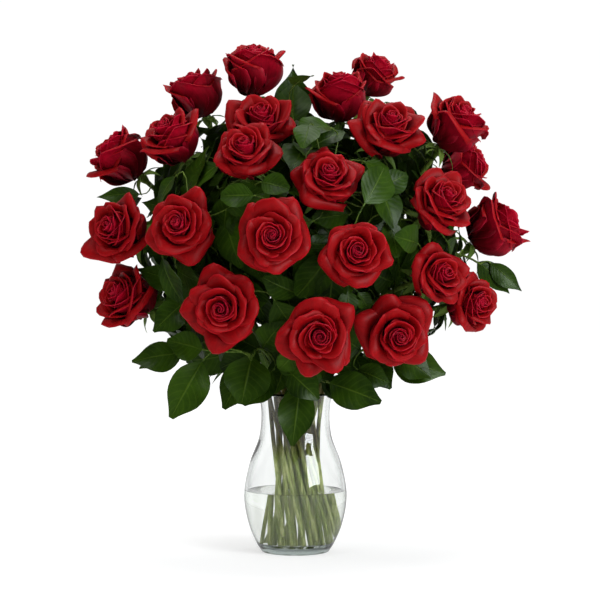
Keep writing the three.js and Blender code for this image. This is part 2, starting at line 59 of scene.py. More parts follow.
camera = bpy.data.objects.new("camera", bpy.data.cameras.new("camera"))
camera.data.lens = LENS
camera.data.sensor_width = SENSOR
camera.data.sensor_height = SENSOR
camera.data.sensor_fit = "HORIZONTAL"
camera.location = CAMERA_PLACE
camera.rotation_euler = (math.radians(90), 0, 0)
bpy.context.collection.objects.link(camera)
bpy.context.scene.camera = camera
print("width seen at the bouquet, m:", abs(CAMERA_PLACE[1]) * SENSOR / LENS)

# %% [markdown]
# ## Where everything grows
# Each rose is given by the middle of its bloom, the way that it faces, its diameter and how far it has
# opened. Each spray is given by where its last leaf grows. All lengths in these tables are in millimetres.

# %% Roses and sprays
MM = 0.001

# x, y, z, turn from the front, lift above level, diameter, opening
ROSES = [
    (-52, 35, 583, -20, 76, 90, 0.6), (-122, 70, 557, -60, 66, 82, 0.5), (98, 80, 582, 50, 60, 74, 0.65),
    (52, 8, 547, -10, 68, 86, 0.6), (-41, -28, 510, -5, 45, 92, 0.95), (-56, -104, 469, -10, 33, 84, 0.9),
    (-146, -30, 492, -50, 45, 86, 0.8), (-212, 20, 474, -75, 42, 88, 0.7), (108, -60, 501, 15, 40, 92, 0.95),
    (190, -24, 509, 60, 52, 88, 0.7), (208, 55, 466, 75, 22, 78, 0.6), (36, -130, 436, 5, 28, 90, 0.9),
    (165, -95, 412, 35, 33, 88, 0.85), (241, 12, 388, 82, 38, 94, 0.7), (-205, -60, 382, -35, 14, 92, 0.9),
    (-130, -125, 384, -12, 10, 88, 1), (-24, -175, 369, -3, 9, 92, 1), (66, -165, 353, 8, 7, 84, 0.9),
    (-197, -46, 303, -52, 22, 88, 0.8), (-79, -150, 292, -10, -4, 96, 1), (26, -172, 263, 3, -5, 94, 1),
    (114, -130, 262, 10, -5, 94, 1), (161, -112, 329, 35, 10, 78, 0.85), (205, -60, 297, 42, 5, 80, 0.85),
]
BLOOM_BASE = 0.36

# x, y, z, turn, lift, length and width of the last leaf
SPRAYS = [
    (-140, -46, 241, -70, -14, 58, 34), (-50, -108, 232, -30, -62, 66, 54), (4, -66, 206, 5, -78, 62, 34),
    (38, -74, 206, 62, -12, 66, 38), (118, -82, 236, 70, -22, 58, 40), (220, -22, 343, 75, -35, 58, 34),
    (-3, 20, 515, 180, 84, 70, 44), (-108, 30, 425, -60, 60, 66, 38), (10, 110, 390, 180, 45, 84, 46),
    (118, 30, 430, 60, 60, 66, 38),
]


def facing(turn, lift):
    """The direction for a turn from the front and a lift above level, in degrees."""
    turn, lift = math.radians(turn), math.radians(lift)
    return np.array([math.sin(turn) * math.cos(lift), -math.cos(turn) * math.cos(lift), math.sin(lift)])


def unit(vector):
    return vector / np.linalg.norm(vector)


stem_ends = []
for x, y, z, turn, lift, diameter, _ in ROSES:
    stem_ends.append((np.array([x, y, z]) - facing(turn, lift) * BLOOM_BASE * diameter, facing(turn, lift)))
for x, y, z, turn, lift, _, _ in SPRAYS:
    stem_ends.append((np.array([x, y, z], float), facing(turn, lift)))
print("stems:", len(stem_ends))

# %% [markdown]
# ## The stems' paths
# Real stems put in by hand cross in the neck and spiral down to the floor of the vase. The rule does the
# same: every stem starts in the neck on the side that it leans to, then all push each other apart until they
# fit. Below the neck a stem is straight and stands on the floor or on the slope of the bowl round it. Above
# the neck one smooth curve takes it to its bloom.

# %% Paths of the stems
NECK_HEIGHT = 188
FOOT_HEIGHT = 11.4
NECK_CIRCLE = 32.5
NECK_SPACING = 10.2
NECK_ROUNDS = 400
NECK_PUSH = 0.25
FULL_LEAN = 1.2
STEM_TWIST = math.radians(80)
FOOT_SPREAD = 1.3
FLAT_FLOOR = 31.5
BOWL_SLOPE = 1.2
STEM_BEND = 0.4
STEM_STEPS = 7


def neck_pattern():
    """Where each stem passes through the neck."""
    ends = np.array([point for point, _ in stem_ends])
    reach = np.hypot(ends[:, 0], ends[:, 1])
    lean = np.arctan2(reach, ends[:, 2] - NECK_HEIGHT) / FULL_LEAN
    places = ends[:, :2] / reach[:, None] * (NECK_CIRCLE * lean)[:, None]
    for _ in range(NECK_ROUNDS):
        apart = places[:, None] - places[None]
        distance = np.hypot(apart[..., 0], apart[..., 1]) + np.eye(len(places)) * NECK_SPACING
        share = NECK_PUSH * np.maximum(NECK_SPACING - distance, 0) / distance
        places = places + (apart * share[..., None]).sum(axis=1)
        places *= np.minimum(1, NECK_CIRCLE / np.hypot(places[:, 0], places[:, 1]))[:, None]
    return places


class StemPath:
    """A stem's middle line: straight from its foot to the neck, then bent over to its end."""

    def __init__(self, place, end):
        self.point, self.along = end
        x, y = place
        cos, sin = math.cos(STEM_TWIST) * FOOT_SPREAD, math.sin(STEM_TWIST) * FOOT_SPREAD
        up_slope = BOWL_SLOPE * max(0, math.hypot(x, y) * FOOT_SPREAD - FLAT_FLOOR)
        self.foot = np.array([x * cos - y * sin, x * sin + y * cos, FOOT_HEIGHT + up_slope])
        self.neck = np.array([x, y, NECK_HEIGHT])
        handle = STEM_BEND * np.linalg.norm(self.point - self.neck)
        self.leaving = self.neck + unit(self.neck - self.foot) * handle
        self.arriving = self.point - self.along * handle

    def bend(self, t):
        near = 1 - t
        return (near ** 3 * self.neck + 3 * near ** 2 * t * self.leaving
                + 3 * near * t ** 2 * self.arriving + t ** 3 * self.point)

    def at(self, step):
        """The point at one of the path's steps, or between two."""
        if step < 1:
            return self.foot + (self.neck - self.foot) * step
        return self.bend((step - 1) / (STEM_STEPS - 1))


stem_paths = [StemPath(place, end) for place, end in zip(neck_pattern(), stem_ends)]
neck = np.array([path.neck[:2] for path in stem_paths])
gaps = [np.linalg.norm(a - b) for k, a in enumerate(neck) for b in neck[:k]]
print("closest two stems in the neck, mm:", round(min(gaps), 2))

# %% [markdown]
# ## Where the leaves grow
# A leaf leaves its stem at a random turn and tilt, and is kept only where points spread over it are clear of
# every bloom, stem and other leaf. The same steady row of random numbers as in the solids gives the same
# leaves. Afterwards more leaves are tried in the room that is left, because the solids carry only a few.

# %% Frames of the leaves
LEAF_DROOP = 0.55
LEAF_FOLD = 0.22
OVATE_POWER = 0.75
BOUQUET_CORE = np.array([5.0, 40.0, 270.0])
BOUQUET_MIDDLE = np.array([5.0, -25.0, 385.0])
BOUQUET_REACH = np.array([245.0, 165.0, 205.0])


def random_row(seed):
    """A steady row of random numbers from 0 to 1."""
    while True:
        seed = (seed * 1664525 + 1013904223) % 4294967296
        yield seed / 4294967296


def turned_about(vector, axis, angle):
    return (vector * math.cos(angle) + np.cross(axis, vector) * math.sin(angle)
            + axis * np.dot(axis, vector) * (1 - math.cos(angle)))


def leaf_frame(origin, along, light):
    """Origin, direction of the midrib, upper face and the way across."""
    face = unit(light - along * np.dot(light, along))
    return origin, along, face, np.cross(along, face)


def side_leaf_frame(path, step, turn, tilt):
    origin = path.at(step)
    out = unit(origin - BOUQUET_CORE)
    side = turned_about(unit(np.array([out[1], -out[0], 0.0])), out, turn)
    return leaf_frame(origin, side * math.sin(tilt) + out * math.cos(tilt), out)


def leaf_point(leaf, length, x, y):
    """A point of a leaf: x along its drooping midrib, and y across it."""
    origin, along, face, across = leaf
    bend, reach, fold = LEAF_DROOP * x / length, length / LEAF_DROOP, LEAF_FOLD * abs(y)
    return (origin + along * (reach + fold) * math.sin(bend) + across * y
            + face * (fold * math.cos(bend) - reach * (1 - math.cos(bend))))


def ovate(share):
    return math.sin(math.pi * share ** OVATE_POWER)


# %% Room for a leaf
LEAF_TEST_ROWS = (0.25, 0.42, 0.6, 0.8, 1)
LEAF_TRIES = 60
LEAF_TILT = (0.8, 0.8)
SMALLEST_LEAF = 0.6
SEED_STEP = 1000
STEM_TEST_POINTS = 40
CLEAR_OF_VASE = 54
CLEAR_HEIGHT = 199
WITHIN_REACH = 70
HIDDEN_SHARE = 0.85

bloom_middles = np.array([rose[:3] for rose in ROSES], float)
bloom_radii = np.array([rose[5] for rose in ROSES]) / 2
stem_samples = [np.array([path.foot] + [path.bend(k / STEM_TEST_POINTS) for k in range(STEM_TEST_POINTS + 1)])
                for path in stem_paths]
leaf_samples_taken = []
sample_owner = np.concatenate([[stem] * len(samples) for stem, samples in enumerate(stem_samples)])
sample_place = np.concatenate(stem_samples)


def leaf_samples(leaf, length, width):
    return np.array([leaf_point(leaf, length, share * length, side * ovate(share) * width / 2)
                     for share in LEAF_TEST_ROWS for side in (-1, 0, 1)])


def nearest(points, others):
    """The smallest distance from the points to the others, of those that lie within reach of a leaf."""
    close = others[(np.abs(others - points.mean(axis=0)) < WITHIN_REACH).all(axis=1)]
    return np.linalg.norm(points[:, None] - close[None], axis=-1).min() if len(close) else WITHIN_REACH


def in_picture(points):
    """How far points lie from the camera, and where they fall in the picture, at the vase's own distance."""
    distance = points[:, 1] - CAMERA_PLACE[1] / MM
    middle = np.array([CAMERA_PLACE[0], CAMERA_PLACE[2]]) / MM
    return distance, middle + (points[:, [0, 2]] - middle) * (-CAMERA_PLACE[1] / MM / distance)[:, None]


def hides_bloom(samples):
    distance, places = in_picture(samples)
    bloom_distance, bloom_places = in_picture(bloom_middles)
    apart = np.linalg.norm(places[:, None] - bloom_places[None], axis=-1)
    return ((apart < bloom_radii * HIDDEN_SHARE) & (distance[:, None] < bloom_distance)).any()


def is_clear(samples, own_stem, of_bloom, of_stem, of_leaf):
    spread = np.linalg.norm((samples - BOUQUET_MIDDLE) / BOUQUET_REACH, axis=1)
    off_vase = (samples[:, 2] > CLEAR_HEIGHT) | (np.hypot(samples[:, 0], samples[:, 1]) > CLEAR_OF_VASE)
    if (spread >= 1).any() or not off_vase.all():
        return False
    to_blooms = np.linalg.norm(samples[:, None] - bloom_middles[None], axis=-1) - bloom_radii
    if to_blooms.min() <= of_bloom or nearest(samples, sample_place[sample_owner != own_stem]) <= of_stem:
        return False
    return not leaf_samples_taken or nearest(samples, np.concatenate(leaf_samples_taken)) > of_leaf


def place_leaf(stem, step, slot, length, width, of_bloom=4, of_stem=12, of_leaf=16, in_front=True):
    """Tries a leaf at a few turns, tilts and sizes, and keeps the first that has room."""
    row = random_row(SEED_STEP * stem + slot + 1)
    for attempt in range(LEAF_TRIES):
        turn = next(row) * 2 * math.pi
        tilt = LEAF_TILT[0] + next(row) * LEAF_TILT[1]
        size = 1 + (SMALLEST_LEAF - 1) * attempt / LEAF_TRIES
        leaf = side_leaf_frame(stem_paths[stem], step, turn, tilt)
        samples = leaf_samples(leaf, length * size, width * size)
        if is_clear(samples, stem, of_bloom, of_stem, of_leaf) and (in_front or not hides_bloom(samples)):
            leaf_samples_taken.append(samples)
            return leaf, length * size, width * size
    return None


# %% Leaves of the solids
LEAF_SUNK = 8
LAST_LEAF_LIGHT = np.array([0.0, -1.0, 0.8])
SPRAY_LEAF = (78, 40)
SPRAY_LEAF_STEPS = (3, 4, 5, 6)
ROSE_LEAF = (84, 62)
ROSE_LEAF_STEP = 5

leaves_on = [[] for _ in stem_paths]
for k, (*_, length, width) in enumerate(SPRAYS):
    path = stem_paths[len(ROSES) + k]
    leaf = leaf_frame(path.point - path.along * LEAF_SUNK, path.along, LAST_LEAF_LIGHT)
    leaf_samples_taken.append(leaf_samples(leaf, length, width))
    leaves_on[len(ROSES) + k].append((leaf, length, width))
for k in range(len(SPRAYS)):
    for slot, step in enumerate(SPRAY_LEAF_STEPS):
        leaves_on[len(ROSES) + k].append(place_leaf(len(ROSES) + k, step, slot, *SPRAY_LEAF))
for k in range(len(ROSES)):
    leaves_on[k].append(place_leaf(k, ROSE_LEAF_STEP, 0, *ROSE_LEAF))
leaves_on = [[leaf for leaf in leaves if leaf] for leaves in leaves_on]
print("leaves that the solids have:", sum(len(leaves) for leaves in leaves_on))

# %% More leaves in the room that is left
EXTRA_STEPS = (6.3, 5.6, 4.6, 3.6)
EXTRA_SPRAY_LEAF = (68, 36)
EXTRA_ROSE_LEAF = (70, 52)
EXTRA_CLEAR = dict(of_bloom=2, of_stem=5, of_leaf=8, in_front=False)
FIRST_EXTRA_SLOT = 20

for slot, step in enumerate(EXTRA_STEPS, start=FIRST_EXTRA_SLOT):
    for stem in range(len(stem_paths)):
        size = EXTRA_ROSE_LEAF if stem < len(ROSES) else EXTRA_SPRAY_LEAF
        extra = place_leaf(stem, step, slot, *size, **EXTRA_CLEAR)
        if extra:
            leaves_on[stem].append(extra)
print("leaves in all:", sum(len(leaves) for leaves in leaves_on))

# %% [markdown]
# ## Foliage round and behind the blooms
# A real bouquet is closed by leaves between and behind its blooms. Each of these hangs on a twig from the
# nearest stem, and three rules place them. Along the lower edge, the sides and the top a leaf shows against
# the background, so each has its own root and tip. At the back a row hangs over the rim, a little at random.
# Inside, places are spread evenly over four shells, and each that lies open gets a leaf that hides no bloom.

# %% Leaves at the bouquet's edge
# root, tip and width of each
EDGE_LEAVES = [
    ((-104, -92, 234), (-145, -100, 160), 46), ((-52, -84, 230), (-84, -98, 172), 40),
    ((36, -84, 207), (103, -104, 182), 44), ((108, -60, 234), (178, -66, 214), 44),
    ((-184, 0, 428), (-238, -4, 424), 22), ((-3, 46, 512), (-3, 44, 586), 46),
    ((70, -84, 222), (110, -90, 204), 30), ((-24, -84, 222), (-62, -94, 177), 38),
    ((6, -78, 206), (-4, -86, 128), 42), ((-10, -96, 222), (30, -104, 184), 36),
    ((62, -112, 398), (14, -124, 390), 34), ((-8, -60, 236), (-24, -72, 190), 34),
    ((16, -56, 234), (22, -70, 196), 34), ((-120, -60, 300), (-160, -66, 286), 34),
    ((84, -70, 236), (112, -78, 196), 36), ((-104, -96, 244), (-150, -104, 256), 34),
    ((-132, -50, 318), (-186, -52, 338), 30), ((-126, -70, 300), (-166, -76, 262), 36),
    ((-128, -58, 240), (-193, -64, 229), 36), ((230, -22, 346), (269, -22, 311), 24),
    ((-140, 6, 406), (-184, -4, 418), 30), ((-138, -36, 346), (-178, -42, 362), 28),
    ((150, -8, 368), (194, -12, 384), 30), ((132, 4, 448), (166, 2, 470), 26),
    ((-88, 24, 470), (-114, 12, 496), 26),
]
EDGE_LEAF_LIGHT = np.array([0.0, -1.0, 0.25])
DROOPED_LENGTH = 1.02
TWIG_POINTS = 7
TWIG_HANDLE = 0.4
TWIG_RISE = 0.6
LOWEST_TWIG = 205
BELOW_RIM_COST = 60

twigs_on = [[] for _ in stem_paths]


def twig(start, way, end):
    """A bent line from a stem to the root of a leaf."""
    handle = np.linalg.norm(end - start) * TWIG_HANDLE
    lift, land = start + np.array([0, 0, handle * TWIG_RISE]), end - way * handle
    shares = np.linspace(0, 1, TWIG_POINTS)[:, None]
    near = 1 - shares
    return (near ** 3 * start + 3 * near ** 2 * shares * lift + 3 * near * shares ** 2 * land
            + shares ** 3 * end)


def twig_to(leaf):
    """The nearest stem above the rim, and a twig from it to the leaf."""
    distance = np.linalg.norm(sample_place - leaf[0], axis=1)
    distance = distance + BELOW_RIM_COST * (sample_place[:, 2] < LOWEST_TWIG)
    nearest_one = distance.argmin()
    return sample_owner[nearest_one], twig(sample_place[nearest_one], leaf[1], leaf[0])


def hang_leaf(root, tip, width, light):
    """A leaf from one place to another, on a twig from the nearest stem."""
    way = tip - root
    leaf = leaf_frame(root, turned_about(unit(way), unit(np.cross(way, light)), LEAF_DROOP / 2), light)
    length = np.linalg.norm(way) * DROOPED_LENGTH
    leaf_samples_taken.append(leaf_samples(leaf, length, width))
    stem, line = twig_to(leaf)
    leaves_on[stem].append((leaf, length, width))
    twigs_on[stem].append(line)


for root, tip, width in EDGE_LEAVES:
    hang_leaf(np.array(root, float), np.array(tip, float), width, EDGE_LEAF_LIGHT)
print("leaves at the edge:", len(EDGE_LEAVES))

# %% Leaves at the back
BACK_LEAVES = 11
BACK_TURNS = (10, 170)
# distance from the axis and height of the root and of the tip, and the width
BACK_LEAF = (46, 238, 108, 208, 44)
BACK_ODD = 26
BACK_LEAST_WIDTH = 0.8
BACK_ODD_WIDTH = 0.4
BACK_LIGHT_LIFT = 0.8

row = random_row(SEED_STEP)
near, high, far, low, width = BACK_LEAF
for k in range(BACK_LEAVES):
    turn = math.radians(BACK_TURNS[0] + (BACK_TURNS[1] - BACK_TURNS[0]) * k / (BACK_LEAVES - 1))
    level = np.array([math.cos(turn), math.sin(turn), 0])
    odd = BACK_ODD * (np.array([next(row), next(row), next(row)]) - 0.5)
    hang_leaf(level * near + [0, 0, high], level * far + [0, 0, low] + odd,
              width * (BACK_LEAST_WIDTH + BACK_ODD_WIDTH * next(row)), level + [0, 0, BACK_LIGHT_LIFT])
print("leaves at the back:", BACK_LEAVES)

# %% Leaves on the shells
GOLDEN_ANGLE = math.radians(137.5)
SHELL_PLACES = 420
SHELL_DEPTHS = (0.88, 0.77, 0.65, 0.52)
SHELL_LOWEST = -0.75
SHELL_SEED = 7
SHELL_LEAF = (74, 42)
SHELL_CLEAR = dict(of_bloom=0.5, of_stem=3, of_leaf=5.5)
SHELL_TRIES = 14
SHELL_SHRINK = 0.4
ODD_UP = [0.2, 0.1, 1.0]
SHELL_LEAN = (0.15, 0.5)
TWIG_REACH = 95


def shell_leaf(middle, out, row):
    """A leaf with room round this place, and the stem and twig that carry it."""
    for attempt in range(SHELL_TRIES):
        size = 1 - SHELL_SHRINK * attempt / SHELL_TRIES
        length, width = SHELL_LEAF[0] * size, SHELL_LEAF[1] * size
        side = turned_about(unit(np.cross(out, ODD_UP)), out, next(row) * 2 * math.pi)
        along = unit(side + out * (SHELL_LEAN[0] + SHELL_LEAN[1] * next(row)))
        leaf = leaf_frame(middle - along * length * 0.5, along, out)
        samples = leaf_samples(leaf, length, width)
        if is_clear(samples, None, **SHELL_CLEAR) and not hides_bloom(samples):
            stem, line = twig_to(leaf)
            if np.linalg.norm(line[0] - line[-1]) < TWIG_REACH and not hides_bloom(line):
                leaf_samples_taken.append(samples)
                return stem, (leaf, length, width), line
    return None


for depth in SHELL_DEPTHS:
    for k in range(SHELL_PLACES):
        height = 1 - 2 * (k + 0.5) / SHELL_PLACES
        level, around = math.sqrt(1 - height * height), k * GOLDEN_ANGLE
        out = np.array([level * math.cos(around), level * math.sin(around), height])
        if height > SHELL_LOWEST:
            middle = BOUQUET_MIDDLE + out * BOUQUET_REACH * depth
            found = shell_leaf(middle, out, random_row(k + SHELL_SEED))
            if found:
                stem, leaf, line = found
                leaves_on[stem].append(leaf)
                twigs_on[stem].append(line)
print("leaves on twigs:", sum(len(twigs) for twigs in twigs_on))

# %% [markdown]
# ## Sums between nodes
# A node tree is easier to read as a formula than as a drawing. A wire is a value on its way from one node to
# the next, and sums on wires add the Math nodes. A bench is a tree under construction, with one way to add
# any other node: its type, its settings, and the values or wires of its sockets.

# %% A wire
def named(sockets, name):
    """The socket with this name or number that the node's settings leave in use."""
    if isinstance(name, int):
        return sockets[name]
    return next(socket for socket in sockets if socket.enabled and socket.name == name)


class Wire:
    """A value between nodes, which ordinary sums work on."""

    def __init__(self, bench, socket):
        self.bench = bench
        self.socket = socket

    def __getitem__(self, name):
        return Wire(self.bench, named(self.socket.node.outputs, name))

    def __add__(self, other):
        return self.bench.math("ADD", self, other)

    def __sub__(self, other):
        return self.bench.math("SUBTRACT", self, other)

    def __rsub__(self, other):
        return self.bench.math("SUBTRACT", other, self)

    def __mul__(self, other):
        return self.bench.math("MULTIPLY", self, other)

    def __truediv__(self, other):
        return self.bench.math("DIVIDE", self, other)

    def __rtruediv__(self, other):
        return self.bench.math("DIVIDE", other, self)

    def __pow__(self, other):
        return self.bench.math("POWER", self, other)

    def __mod__(self, other):
        return self.bench.math("FLOORED_MODULO", self, other)

    def __gt__(self, other):
        return self.bench.math("GREATER_THAN", self, other)

    def __lt__(self, other):
        return self.bench.math("LESS_THAN", self, other)

    def __abs__(self):
        return self.bench.math("ABSOLUTE", self)

    __radd__ = __add__
    __rmul__ = __mul__


# %% A bench
class Bench:
    """A node tree under construction."""

    def __init__(self, tree):
        self.tree = tree

    def add(self, kind, settings=None, values=None):
        """A new node of any type. The result is the wire from its first output."""
        node = self.tree.nodes.new(kind)
        for name, setting in (settings or {}).items():
            setattr(node, name, setting)
        for name, value in (values or {}).items():
            socket = named(node.inputs, name)
            for one in value if isinstance(value, list) else [value]:
                if isinstance(one, Wire):
                    self.tree.links.new(one.socket, socket)
                else:
                    socket.default_value = one
        return Wire(self, next((socket for socket in node.outputs if socket.enabled), None))

    def math(self, operation, *values):
        return self.add("ShaderNodeMath", {"operation": operation}, dict(enumerate(values)))

    def sin(self, value):
        return self.math("SINE", value)

    def cos(self, value):
        return self.math("COSINE", value)

    def least(self, a, b):
        return self.math("MINIMUM", a, b)

    def most(self, a, b):
        return self.math("MAXIMUM", a, b)

    def floor(self, value):
        return self.math("FLOOR", value)

    def ramp(self, value, low, high):
        """0 up to low, 1 from high on, and a smooth step between them."""
        return self.add("ShaderNodeMapRange", {"interpolation_type": "SMOOTHSTEP"},
                        {"Value": value, "From Min": low, "From Max": high})

    def vector(self, x, y, z):
        return self.add("ShaderNodeCombineXYZ", {}, {"X": x, "Y": y, "Z": z})

    def parts(self, vector):
        split = self.add("ShaderNodeSeparateXYZ", {}, {"Vector": vector})
        return split, split["Y"], split["Z"]

    def scaled(self, vector, factor):
        return self.add("ShaderNodeVectorMath", {"operation": "SCALE"}, {"Vector": vector, "Scale": factor})

    def sum(self, *vectors):
        total = vectors[0]
        for vector in vectors[1:]:
            total = self.add("ShaderNodeVectorMath", {"operation": "ADD"}, {0: total, 1: vector})
        return total

    def blend(self, a, b, factor):
        """Colour a where the factor is 0, and colour b where it is 1."""
        return self.add("ShaderNodeMix", {"data_type": "RGBA"}, {"Factor": factor, "A": a, "B": b})

    def noise(self, place, scale, detail=2.0):
        return self.add("ShaderNodeTexNoise", {}, {"Vector": place, "Scale": scale, "Detail": detail})


# %% [markdown]
# ## Trees for Geometry Nodes
# Petals, leaves and stems repeat and follow rules, so Geometry Nodes make them. A growing tree has named
# inputs, and always ends in Realize Instances, because the export keeps no instances. It also gives a sheet
# its thickness: one face is moved out and walled round, the other is turned over, and both join.

# %% Trees that grow things
class GrowingTree(Bench):
    """A Geometry Nodes tree with named inputs."""

    SOCKETS = {int: "NodeSocketInt", float: "NodeSocketFloat"}
    JOINED_WITHIN = 1e-6

    def __init__(self, name, inputs):
        super().__init__(bpy.data.node_groups.new(name, "GeometryNodeTree"))
        face = self.tree.interface
        face.new_socket(name="Geometry", in_out="OUTPUT", socket_type="NodeSocketGeometry")
        face.new_socket(name="Geometry", in_out="INPUT", socket_type="NodeSocketGeometry")
        for label, value in inputs.items():
            socket = face.new_socket(name=label, in_out="INPUT", socket_type=self.SOCKETS[type(value)])
            socket.default_value = value
        self.inputs = self.add("NodeGroupInput")

    def attribute(self, name, kind="FLOAT"):
        return self.add("GeometryNodeInputNamedAttribute", {"data_type": kind}, {"Name": name})

    def store(self, geometry, name, value, kind="FLOAT"):
        return self.add("GeometryNodeStoreNamedAttribute", {"data_type": kind, "domain": "POINT"},
                        {"Geometry": geometry, "Name": name, "Value": value})

    def random(self, low, high, one, seed):
        return self.add("FunctionNodeRandomValue", {"data_type": "FLOAT"},
                        {"Min": low, "Max": high, "ID": one, "Seed": seed})

    def sheets(self, points, columns, rows):
        """One flat sheet for each point, all at the origin: x is -1 to 1 across it, and y 0 to 1 along it."""
        grid = self.add("GeometryNodeMeshGrid", {},
                        {"Size X": 2.0, "Size Y": 1.0, "Vertices X": columns + 1, "Vertices Y": rows + 1})
        lifted = self.add("GeometryNodeTransform", {}, {"Geometry": grid, "Translation": (0, 0.5, 0)})
        copies = self.add("GeometryNodeInstanceOnPoints", {}, {"Points": points, "Instance": lifted})
        return self.add("GeometryNodeRealizeInstances", {}, {"Geometry": copies})

    def thick(self, sheet, thickness, upper, lower):
        """A closed shell from a sheet, with its own material on either face."""
        merged = self.add("GeometryNodeMergeByDistance", {}, {
            "Geometry": sheet, "Distance": self.JOINED_WITHIN})
        pulled = self.add("GeometryNodeExtrudeMesh", {"mode": "FACES"},
                          {"Mesh": merged, "Offset Scale": thickness, "Individual": False})
        over = self.add("GeometryNodeSetMaterial", {}, {"Geometry": pulled, "Material": upper})
        under = self.add("GeometryNodeFlipFaces", {}, {"Mesh": merged})
        under = self.add("GeometryNodeSetMaterial", {}, {"Geometry": under, "Material": lower})
        over = self.add("GeometryNodeSetShadeSmooth", {},
                        {"Geometry": over, "Shade Smooth": 1 - pulled["Side"]})
        under = self.add("GeometryNodeSetShadeSmooth", {}, {"Geometry": under, "Shade Smooth": True})
        both = self.add("GeometryNodeJoinGeometry", {}, {"Geometry": [over, under]})
        return self.add("GeometryNodeMergeByDistance", {}, {
            "Geometry": both, "Distance": self.JOINED_WITHIN})

    def finish(self, geometry):
        whole = self.add("GeometryNodeRealizeInstances", {}, {"Geometry": geometry})
        self.add("NodeGroupOutput", {}, {"Geometry": whole})


def grown(name, mesh, tree, **sizes):
    """The plain mesh that a tree makes of a starting mesh, as a new object."""
    piece = bpy.data.objects.new(name, mesh)
    bpy.context.collection.objects.link(piece)
    modifier = piece.modifiers.new("growth", "NODES")
    modifier.node_group = tree
    identifiers = {item.name: item.identifier for item in tree.interface.items_tree
                   if item.item_type == "SOCKET" and item.in_out == "INPUT"}
    for label, value in sizes.items():
        modifier[identifiers[label.replace("_", " ").capitalize()]] = value
    depsgraph = bpy.context.evaluated_depsgraph_get()
    result = bpy.data.meshes.new_from_object(
        piece.evaluated_get(depsgraph), preserve_all_data_layers=True, depsgraph=depsgraph)
    piece.modifiers.clear()
    piece.data = result
    result.name = name
    return piece


# %% [markdown]
# ## Finishes
# A material here is a bench with a Principled shader at its end. Whatever changes over a surface is a formula
# of the piece's own coordinates, and everything that stays the same is set on the shader's sockets.

# %% A finish and its coordinates
class Finish(Bench):
    """A material under construction. Its shader gets values, and wires where a value changes."""

    def __init__(self, name):
        self.material = bpy.data.materials.new(name)
        self.material.use_nodes = True
        super().__init__(self.material.node_tree)
        self.tree.nodes.clear()
        self.place = self.add("ShaderNodeTexCoord")["Object"]

    def sheet(self):
        """Across a petal or leaf from -1 to 1, along it from 0 to 1, and which one it is."""
        return self.parts(self.add("ShaderNodeAttribute", {"attribute_name": "sheet"})["Vector"])

    def relief(self, height, depth):
        """Bumps of a height from 0 to 1, as deep as given in metres."""
        return self.add("ShaderNodeBump", {}, {"Strength": 1.0, "Distance": depth, "Height": height})

    def shader(self, **values):
        return self.add("ShaderNodeBsdfPrincipled", {}, {
            label.replace("_", " "): value for label, value in values.items()})

    def end(self, surface, volume=None):
        self.add("ShaderNodeOutputMaterial", {}, {"Surface": surface, "Volume": volume} if volume
                 else {"Surface": surface})
        return self.material

    def shade(self, **values):
        return self.end(self.shader(**values))


# %% [markdown]
# ## Finish of the petals
# The inside of a red rose petal is velvet: tiny cones on its skin swallow light seen from above and glow at
# the edges, which a weak sheen does here. The back is smoother and pinker. Both have fine veins that run from
# the root and fan out. Painted shade darkens each petal towards its root, where the bloom shades it, and a
# painted highlight lightens its rim, where a curled edge catches the light. The petals of the heart get more
# painted shade, since less light gets out from between them.

# %% Petals
PETAL_RELIEF = 0.00012
# where the painted highlight on the rim begins, and how much of it there is
RIM_HIGHLIGHT_FROM = 0.95
RIM_HIGHLIGHT_SHARE = 0.4
# from which petal on the heart gets more painted shade, and how much
HEART_SHADE_FROM = 0.4
HEART_SHADE_SHARE = 0.35


def petal_finish(name, shaded_red, lit, rim_highlight, roughness, sheen):
    finish = Finish(name)
    u, v, which = finish.sheet()
    cloud = finish.noise(finish.place, 90.0, 3.0)
    fan = finish.noise(finish.vector(u * 16, v * 1.5, which * 40), 1.0, 2.0)
    # Painted shade: darker towards the root, from the shaded red to the lit one, mottled by noise.
    light = finish.ramp(v + (cloud - 0.5) * 0.5 + (fan - 0.5) * 0.35, 0.25, 1.05)
    colour = finish.blend(shaded_red, lit, light)
    # Painted highlight along the rim and the sides, where a curled edge catches the light.
    painted_edge = finish.ramp(finish.most(v, abs(u) * 0.985), RIM_HIGHLIGHT_FROM, 1.0)
    # More painted shade on the petals of the heart, where less light gets out.
    colour = finish.blend(colour, shaded_red, finish.ramp(which, HEART_SHADE_FROM, 1.0) * HEART_SHADE_SHARE)
    colour = finish.blend(colour, rim_highlight, painted_edge * RIM_HIGHLIGHT_SHARE)
    veins = finish.noise(finish.vector(u * 22, v * 2, which * 40), 1.0, 2.0)
    skin = finish.noise(finish.place, 2600.0, 2.0)
    return finish.shade(
        Base_Color=colour,
        Roughness=roughness + (cloud - 0.5) * 0.15,
        Specular_IOR_Level=0.08,
        Sheen_Weight=sheen, Sheen_Roughness=0.42, Sheen_Tint=(1, 0.1, 0.2, 1),
        Normal=finish.relief(veins * 0.8 + skin * 0.2, PETAL_RELIEF))


# Each side has a red for its painted shade, a lit red, and a paler red for the painted highlight on its rim.
petal_face = petal_finish(
    "petal_face", shaded_red=(0.035, 0.0001, 0.0005, 1), lit=(0.28, 0.0012, 0.0028, 1), rim_highlight=(0.50, 0.006, 0.014, 1),
    roughness=0.5, sheen=0.05)
petal_back = petal_finish(
    "petal_back", shaded_red=(0.10, 0.0004, 0.004, 1), lit=(0.41, 0.0018, 0.017, 1), rim_highlight=(0.52, 0.008, 0.04, 1),
    roughness=0.45, sheen=0.07)
print("finishes of the petals:", petal_face.name, petal_back.name)

